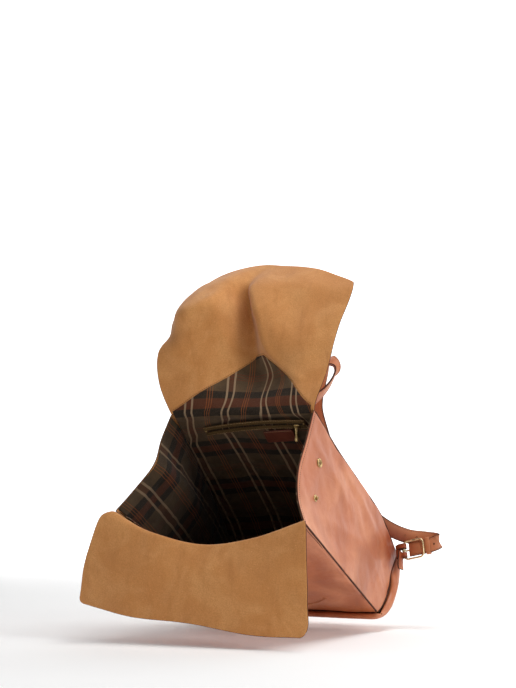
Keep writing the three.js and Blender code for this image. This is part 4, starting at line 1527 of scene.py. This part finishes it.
def strap_line(s, count=420):
    t = np.linspace(0, 1, count)
    path = spline(np.array(STRAP_PATH, float), t)
    across = spline(np.array(STRAP_ACROSS, float), t)
    side, up = frames(path, across)
    return mirrored(path, s), mirrored(side, s), mirrored(up, s)


def strap_shell(path, side, up, width, thickness, slots=0):
    shell = swept(path, side, up, strap_outline(width, thickness), slots=slots)
    ring = len(strap_outline(width, thickness))
    offset = strap_outline(width, thickness)[:, 0]
    for number, face in enumerate(shell.faces):
        if len(face) == 4:
            reach = [offset[k % ring] for k in face]
            shell.slots[number] = int(min(reach) > 0 or max(reach) < 0)
        else:
            shell.slots[number] = 1
    return shell


def build_strap(s, side_name, settings, looks):
    path, side, up = strap_line(s)
    random = ripples(path[None], 70, 71 + s)[0]
    path = path + up * (random * 0.25)[:, None]
    strap = strap_shell(path, side, up, STRAP_WIDTH, STRAP_THICKNESS)
    piece = make(f"{side_name}_strap_leather", [strap], [looks.strap, looks.dark_edge_and_shade])
    settle(piece, f"{side_name}_strap", stands_for=(f"{side_name}_shoulder_strap",))
    lines = []
    for edge in (-1, 1):
        for face in (-1, 1):
            line = path[6:-10] + side[6:-10] * edge * (STRAP_WIDTH / 2 - 2.4) + up[6:-10] * face * 1.25
            lines.append((line, up[6:-10] * face))
    sewn = stitches(f"{side_name}_strap_stitches", lines, looks.dark_thread, settings, 3 + s, 0.9)
    settle(sewn, f"{side_name}_strap")
    outward, upward = BUCKLE_OUT * vec(s, 1, 1), BUCKLE_UP * vec(s, 1, 1)
    front = np.cross(BUCKLE_OUT, BUCKLE_UP) * vec(s, 1, 1)
    holes = []
    for index in (282, 298, 314, 330, 373):
        place, out = path[index], up[index]
        for face in (-1, 1):
            at = place + out * face * 1.18
            holes.append(lathed(
                [(0, -0.2), (1.5, -0.2), (1.55, 0.14), (1.2, 0.2), (0.9, 0.12), (0, 0.1)], at, out * face,
                20
            ))
    piece = make(f"{side_name}_strap_holes", holes, [looks.cut_edge])
    settle(piece, f"{side_name}_strap")

    centre = mirrored(BUCKLE_CENTRE, s)
    outline = rounded_rectangle(BUCKLE_LENGTH - WIRE, BUCKLE_HEIGHT - WIRE, 6.2, 9)
    bow = 0.9 * (1 - (outline[:, 0] / outline[:, 0].max()) ** 2)
    loop = centre + outline[:, :1] * outward + outline[:, 1:] * upward + bow[:, None] * front * -1
    wire = tube(loop, WIRE / 2, 14, closed=True)
    piece = make(f"{side_name}_buckle_wire", [wire], [looks.light_brass])
    settle(piece, f"{side_name}_strap", stands_for=(f"{side_name}_buckle_frame",))

    bar = centre + outward * BAR_AT
    turn = np.linspace(0, 2 * np.pi, 28, endpoint=False)
    eye = bar + 2.45 * (np.cos(turn)[:, None] * outward + np.sin(turn)[:, None] * front)
    rod_t = np.linspace(0, 1, 30)
    reach = 2.2 + rod_t * (BUCKLE_LENGTH - 5.4)
    lift = 2.6 + 0.5 * np.sin(np.pi * rod_t) - 0.2 * rod_t
    rod = bar + reach[:, None] * outward - lift[:, None] * front
    shells = [tube(eye, 0.9, 10, closed=True), tube(rod, 1.25, 12, taper=1.1 - 0.35 * rod_t)]
    shells.append(lathed([(0, -0.9), (0.5, -0.8), (0.86, -0.3), (0.92, 0), (0, 0)], rod[-1], -outward, 14))
    piece = make(f"{side_name}_prong_bent", shells, [looks.light_brass])
    settle(piece, f"{side_name}_prong", stands_for=(f"{side_name}_buckle_prong",))
    build_tab(s, side_name, bar, outward, upward, front, settings, looks)
    build_keeper(s, side_name, outward, upward, front, looks)


def build_tab(s, side_name, bar, outward, upward, front, settings, looks):
    """The short folded strap around the buckle's bar, slotted for the prong, with its root sewn together."""
    radius = WIRE / 2 + 1.1 + 1.0
    turn = np.linspace(-np.pi / 2, np.pi / 2, 15)
    bend = np.stack([np.cos(turn) * radius, np.sin(turn) * radius], 1)
    low, high = [(-9.0, -radius * 0.74), (-4, -radius)], [(-4, radius), (-9.0, radius * 0.74)]
    plan = np.concatenate([np.array(low), bend, np.array(high)])
    route = bar + plan[:, :1] * outward + plan[:, 1:] * front
    route = even(route, 40)
    across = np.broadcast_to(upward, route.shape)
    shells, lines = [], []
    for edge in (-1, 1):
        shifted = route + upward * edge * 6.9
        side, up = frames(shifted, across)
        shells.append(strap_shell(shifted, side, up, 8.2, 1.9))
        line = route + upward * edge * 9.2 + up * -0.95
        lines.append((line[4:-4], -up[4:-4]))
    root = bar + np.linspace(-12.5, -5.5, 12)[:, None] * outward
    side, up = frames(root, np.broadcast_to(upward, root.shape))
    shells.append(strap_shell(root, side, up, STRAP_WIDTH, 3.6))
    down = -upward
    tail = [bar - outward * 4 + front * 4.2 + down * x + front * y - outward * z for x, y, z in
            ((2, 0.4, 0), (9, 0.2, 0.6), (15, 0.6, 1.6), (22, 1.2, 2.2), (29, 1.2, 2.2))]
    tail = spline(np.array(tail), np.linspace(0, 1, 40))
    side, up = frames(tail, np.broadcast_to(unit(vec(s * 0.25, 1, 0)), tail.shape))
    shells.append(strap_shell(tail, side, up, 13, 2.2))
    piece = make(f"{side_name}_tab_leather", shells, [looks.strap, looks.dark_edge_and_shade])
    settle(piece, f"{side_name}_strap", stands_for=(f"{side_name}_strap_tab",))
    sewn = stitches(f"{side_name}_tab_stitches", lines, looks.dark_thread, settings, 5, 0.8)
    settle(sewn, f"{side_name}_strap")


def build_keeper(s, side_name, outward, upward, front, looks):
    centre = mirrored(KEEPER_CENTRE, s)
    outline = rounded_rectangle(STRAP_WIDTH + 3.2, 5.6, 2.0, 8)
    loop = centre + outline[:, :1] * upward + outline[:, 1:] * front
    across = np.broadcast_to(outward, loop.shape)
    side, up = frames(loop, across, closed=True)
    band = swept(loop, side, up, strap_outline(7, 1.3), closed=True)
    piece = make(f"{side_name}_keeper_band", [band], [looks.strap])
    settle(piece, f"{side_name}_strap", stands_for=(f"{side_name}_strap_keeper",))


def build_yoke(settings, looks):
    """The plate that the straps and the carrying loop leave from, with its border stitches."""
    u, v = np.linspace(0.37, 0.63, 70), np.linspace(0.8, 0.92, 50)
    grid = BACK(u, v)
    normal = -grid_normals(grid)
    grid = corners_rounded(grid, [(True, 9, 9), (False, 9, 9)])[::-1]
    grid = corners_rounded(grid, [(True, 9, 9), (False, 9, 9)])[::-1]
    inset = np.minimum.reduce(edge_distances(grid))
    groove = np.exp(-(((inset - 3.2) / 0.8) ** 2)) * 0.3
    grid = grid + normal * (1.6 + 0.6 * smooth(inset, 0, 4) - groove)[..., None]
    piece = make("yoke_plate", [sheet_shell(grid, 2.2, -1)], [looks.strap, looks.suede, looks.dark_edge_and_shade])
    settle(piece, "shell", stands_for=("strap_yoke",))
    j, i = np.linspace(4, 45, 30), np.linspace(4, 65, 60)
    route = [sampled(grid, np.full(60, 4.0), i), sampled(grid, j, np.full(30, 65.0))]
    route += [sampled(grid, np.full(60, 45.0), i[::-1]), sampled(grid, j[::-1], np.full(30, 4.0))]
    out = unit(vec(0, 0.62, 0.78))
    line = np.concatenate(route) + out * 1.15
    sewn = stitches("yoke_stitches", [(line, out)], looks.pale_thread, settings, 9, 1.0)
    settle(sewn, "shell")


def build_carry_loop(settings, looks):
    foot = {}
    out = unit(vec(0, 0.62, 0.78))
    for s in (-1, 1):
        grid = BACK(np.array([0.5, 0.5 + s * 0.085]), np.array([0.86, 0.87]))
        foot[s] = grid[0, 1] + out * 6.8
    top = BACK(np.array([0.5, 0.51]), np.array([0.86, 0.87]))[0, 0] + vec(0, 30, 36)
    shoulder = {s: top + (foot[s] - top) * 0.55 + vec(s * 12, 0, 0) for s in (-1, 1)}
    path = spline(np.array([foot[-1], shoulder[-1], top, shoulder[1], foot[1]]), np.linspace(0, 1, 120))
    side, up = frames(path, np.broadcast_to(unit(vec(0, 0.78, -0.62)), path.shape))
    piece = make(
        "carry_loop_leather", [strap_shell(path, side, up, 14, STRAP_THICKNESS)],
        [looks.strap, looks.dark_edge_and_shade]
    )
    settle(piece, "carry_loop", stands_for=("carry_loop",))
    lines = []
    for edge in (-1, 1):
        for face in (-1, 1):
            lines.append((path[3:-3] + side[3:-3] * edge * 4.9 + up[3:-3] * face * 1.25, up[3:-3] * face))
    sewn = stitches("carry_loop_stitches", lines, looks.dark_thread, settings, 11, 0.9)
    settle(sewn, "carry_loop")


# ---------------------------------------------------------------- seams that show their thread


def build_edge_stitches(settings, looks):
    u = np.linspace(0.03, 0.97, 150)
    top = peak_v(u)
    line = flap_at(settings, u, top + 0.010, 1.15)
    lifted = flap_at(settings, u, top + 0.010, 2.15) - line
    sewn = stitches("flap_lining_stitches", [(line, lifted)], looks.thread, settings, 13)
    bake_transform(sewn)
    for s, side in ((-1, "left"), (1, "right")):
        grid = gusset_grid(s, settings)
        normal = grid_normals(grid) * s
        lines = []
        for inset, out in ((4.6, 0.2), (4.6, -LEATHER - 0.35)):
            rows = np.full(100, 169 - inset / (lengths(grid, 0, 0)[-1, 50] / 169))
            columns = np.linspace(3, 106, 100)
            place = sampled(grid, rows, columns)
            way = unit(sampled(normal, rows, columns))
            lines.append((place + way * out, way))
        sewn = stitches(f"{side}_mouth_stitches", lines, looks.dark_thread, settings, 15 + s)
        settle(sewn, "shell")


# ---------------------------------------------------------------- camera, stage and light


def build_stage(settings, looks):
    profile = [(-4.0, 0), (2.4, 0), (3.0, 0.05), (3.5, 0.3), (3.9, 0.8), (4.05, 1.5), (4.1, 6.0)]
    line = spline(np.array([(0, y, z) for y, z in profile]), np.linspace(0, 1, 60))
    across = np.linspace(-6, 6, 13)
    grid = np.repeat(line[:, None], len(across), 1)
    grid[..., 0] = across
    grid[..., 2] -= 0.0004
    mesh = bpy.data.meshes.new("stage")
    rows, columns = grid.shape[:2]
    number = np.arange(rows * columns).reshape(rows, columns)
    faces = np.stack([number[:-1, :-1], number[:-1, 1:], number[1:, 1:], number[1:, :-1]], -1)
    mesh.from_pydata(grid.reshape(-1, 3).tolist(), [], faces.reshape(-1, 4).tolist())
    mesh.polygons.foreach_set("use_smooth", np.ones(len(mesh.polygons), bool))
    mesh.materials.append(pale_stage("pale stage"))
    stage = bpy.data.objects.new("stage", mesh)
    bpy.context.collection.objects.link(stage)

    scene = bpy.context.scene
    world = bpy.data.worlds.new("soft white room")
    world.use_nodes = True
    ground = world.node_tree.nodes["Background"]
    ground.inputs["Color"].default_value = (1, 1, 1, 1)
    ground.inputs["Strength"].default_value = settings.room_light
    scene.world = world
    scene.view_settings.view_transform = "Standard"
    lamps = [
        ("top", (0.55, 0.05, 2.3), (0.0, 0.0, 0.3), 1.0, settings.key_light),
        ("left", (-1.6, -1.3, 1.2), (0.0, 0.0, 0.25), 0.9, settings.key_light * 0.14),
        ("right", (2.0, -0.5, 1.0), (0.1, 0.05, 0.15), 0.9, settings.key_light * 0.62),
    ]
    for name, place, target, size, power in lamps:
        lamp = bpy.data.lights.new(name, "AREA")
        lamp.energy, lamp.size = power, size
        holder = bpy.data.objects.new(name, lamp)
        holder.location = place
        holder.rotation_euler = (Vector(target) - Vector(place)).to_track_quat("-Z", "Y").to_euler()
        bpy.context.collection.objects.link(holder)


def build_camera(settings, looks):
    data = bpy.data.cameras.new("camera")
    data.lens, data.sensor_width = 69.33, 36
    data.clip_start = 0.01
    camera = bpy.data.objects.new("camera", data)
    camera.location = (0.825, -1.758, 0.186)
    camera.rotation_euler = tuple(np.radians((96.4, 0, 25.3)).tolist())
    bpy.context.collection.objects.link(camera)
    bpy.context.scene.camera = camera


def build_board(settings, looks):
    """The CAD board keeps its shape and takes its finish."""
    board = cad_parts["base_stiffener"]
    board = board if isinstance(board, bpy.types.Object) else bpy.data.objects[board]
    for slot in board.material_slots:
        slot.material = looks.board


# ---------------------------------------------------------------- add-on


class BackpackSettings(bpy.types.PropertyGroup):
    """What can be changed before the backpack is built."""

    stitch_pitch: FloatProperty(
        name="Stitch pitch", description="Distance from one stitch to the next", default=0.0032, unit="LENGTH"
    )
    stitch_length: FloatProperty(
        name="Stitch length", description="Length of thread that shows", default=0.0022, unit="LENGTH"
    )
    thread_width: FloatProperty(
        name="Thread width", description="Width of the sewing thread", default=0.0007, unit="LENGTH"
    )
    zip_pitch: FloatProperty(
        name="Zip pitch", description="Distance between turns of the zip's coil",
        default=0.00125, unit="LENGTH"
    )
    room_light: FloatProperty(
        name="Room light", description="Strength of the white room around the bag",
        default=0.22, subtype="FACTOR"
    )
    key_light: FloatProperty(
        name="Key light", description="Power of the main lamp", default=27.0, unit="POWER"
    )
    seed: IntProperty(name="Seed", description="Seed of the wrinkles and stitches", default=4)


class BuildStep:
    """What the operators share: each runs its own builders, in order, and stops at the first fault."""

    bl_options = {"REGISTER", "UNDO"}
    builders = ()

    def execute(self, context):
        settings, looks = context.scene.backpack, finishes()
        for build in self.builders:
            build(settings, looks)
        return {"FINISHED"}


class BACKPACK_OT_stage(BuildStep, bpy.types.Operator):
    """Adds the camera, the pale floor with its backdrop, and the lamps"""

    bl_idname = "backpack.stage"
    bl_label = "Camera and stage"
    builders = (build_camera, build_stage)


class BACKPACK_OT_shell(BuildStep, bpy.types.Operator):
    """Builds the leather: both flaps with their panels, the gussets, the base and the seams"""

    bl_idname = "backpack.shell"
    bl_label = "Leather shell"
    builders = (
        build_back_and_flap, build_front_and_flap, build_gussets, build_base,
        build_seam_cores, build_front_welt,
        build_board,
    )


class BACKPACK_OT_lining(BuildStep, bpy.types.Operator):
    """Builds the plaid lining with its pocket bag"""

    bl_idname = "backpack.lining"
    bl_label = "Lining"
    builders = (build_lining, build_back_lining, build_pocket_bag)


class BACKPACK_OT_zip(BuildStep, bpy.types.Operator):
    """Builds the zip of the inner pocket and the blank label"""

    bl_idname = "backpack.zip"
    bl_label = "Zip and label"
    builders = (build_zip, build_label)


class BACKPACK_OT_snaps(BuildStep, bpy.types.Operator):
    """Builds the snap fasteners on both gussets"""

    bl_idname = "backpack.snaps"
    bl_label = "Snaps"
    builders = (build_snaps,)


class BACKPACK_OT_straps(BuildStep, bpy.types.Operator):
    """Builds both shoulder straps with their buckles, the yoke and the carrying loop"""

    bl_idname = "backpack.straps"
    bl_label = "Straps and buckles"

    def execute(self, context):
        settings, looks = context.scene.backpack, finishes()
        for s, side in ((-1, "left"), (1, "right")):
            build_strap(s, side, settings, looks)
        build_yoke(settings, looks)
        build_carry_loop(settings, looks)
        return {"FINISHED"}


class BACKPACK_OT_stitches(BuildStep, bpy.types.Operator):
    """Sews the flap's lining edge and the mouth's edges"""

    bl_idname = "backpack.stitches"
    bl_label = "Edge stitches"
    builders = (build_edge_stitches,)


STEPS = (
    BACKPACK_OT_stage, BACKPACK_OT_shell, BACKPACK_OT_lining, BACKPACK_OT_zip, BACKPACK_OT_snaps,
    BACKPACK_OT_straps, BACKPACK_OT_stitches,
)


class BACKPACK_PT_build(bpy.types.Panel):
    """Settings and build steps in the sidebar"""

    bl_label = "Leather Backpack"
    bl_idname = "BACKPACK_PT_build"
    bl_space_type = "VIEW_3D"
    bl_region_type = "UI"
    bl_category = "Backpack"

    def draw(self, context):
        settings = context.scene.backpack
        for name in (
            "stitch_pitch", "stitch_length", "thread_width", "zip_pitch", "room_light", "key_light", "seed"
        ):
            self.layout.prop(settings, name)
        for step in STEPS:
            self.layout.operator(step.bl_idname)


CLASSES = (BackpackSettings, *STEPS, BACKPACK_PT_build)


def register():
    for cls in CLASSES:
        bpy.utils.register_class(cls)
    bpy.types.Scene.backpack = PointerProperty(type=BackpackSettings)


def unregister():
    del bpy.types.Scene.backpack
    for cls in reversed(CLASSES):
        bpy.utils.unregister_class(cls)


def main():
    register()
    for step in STEPS:
        group, name = step.bl_idname.split(".")
        getattr(getattr(bpy.ops, group), name)()


if __name__ == "__main__":
    main()
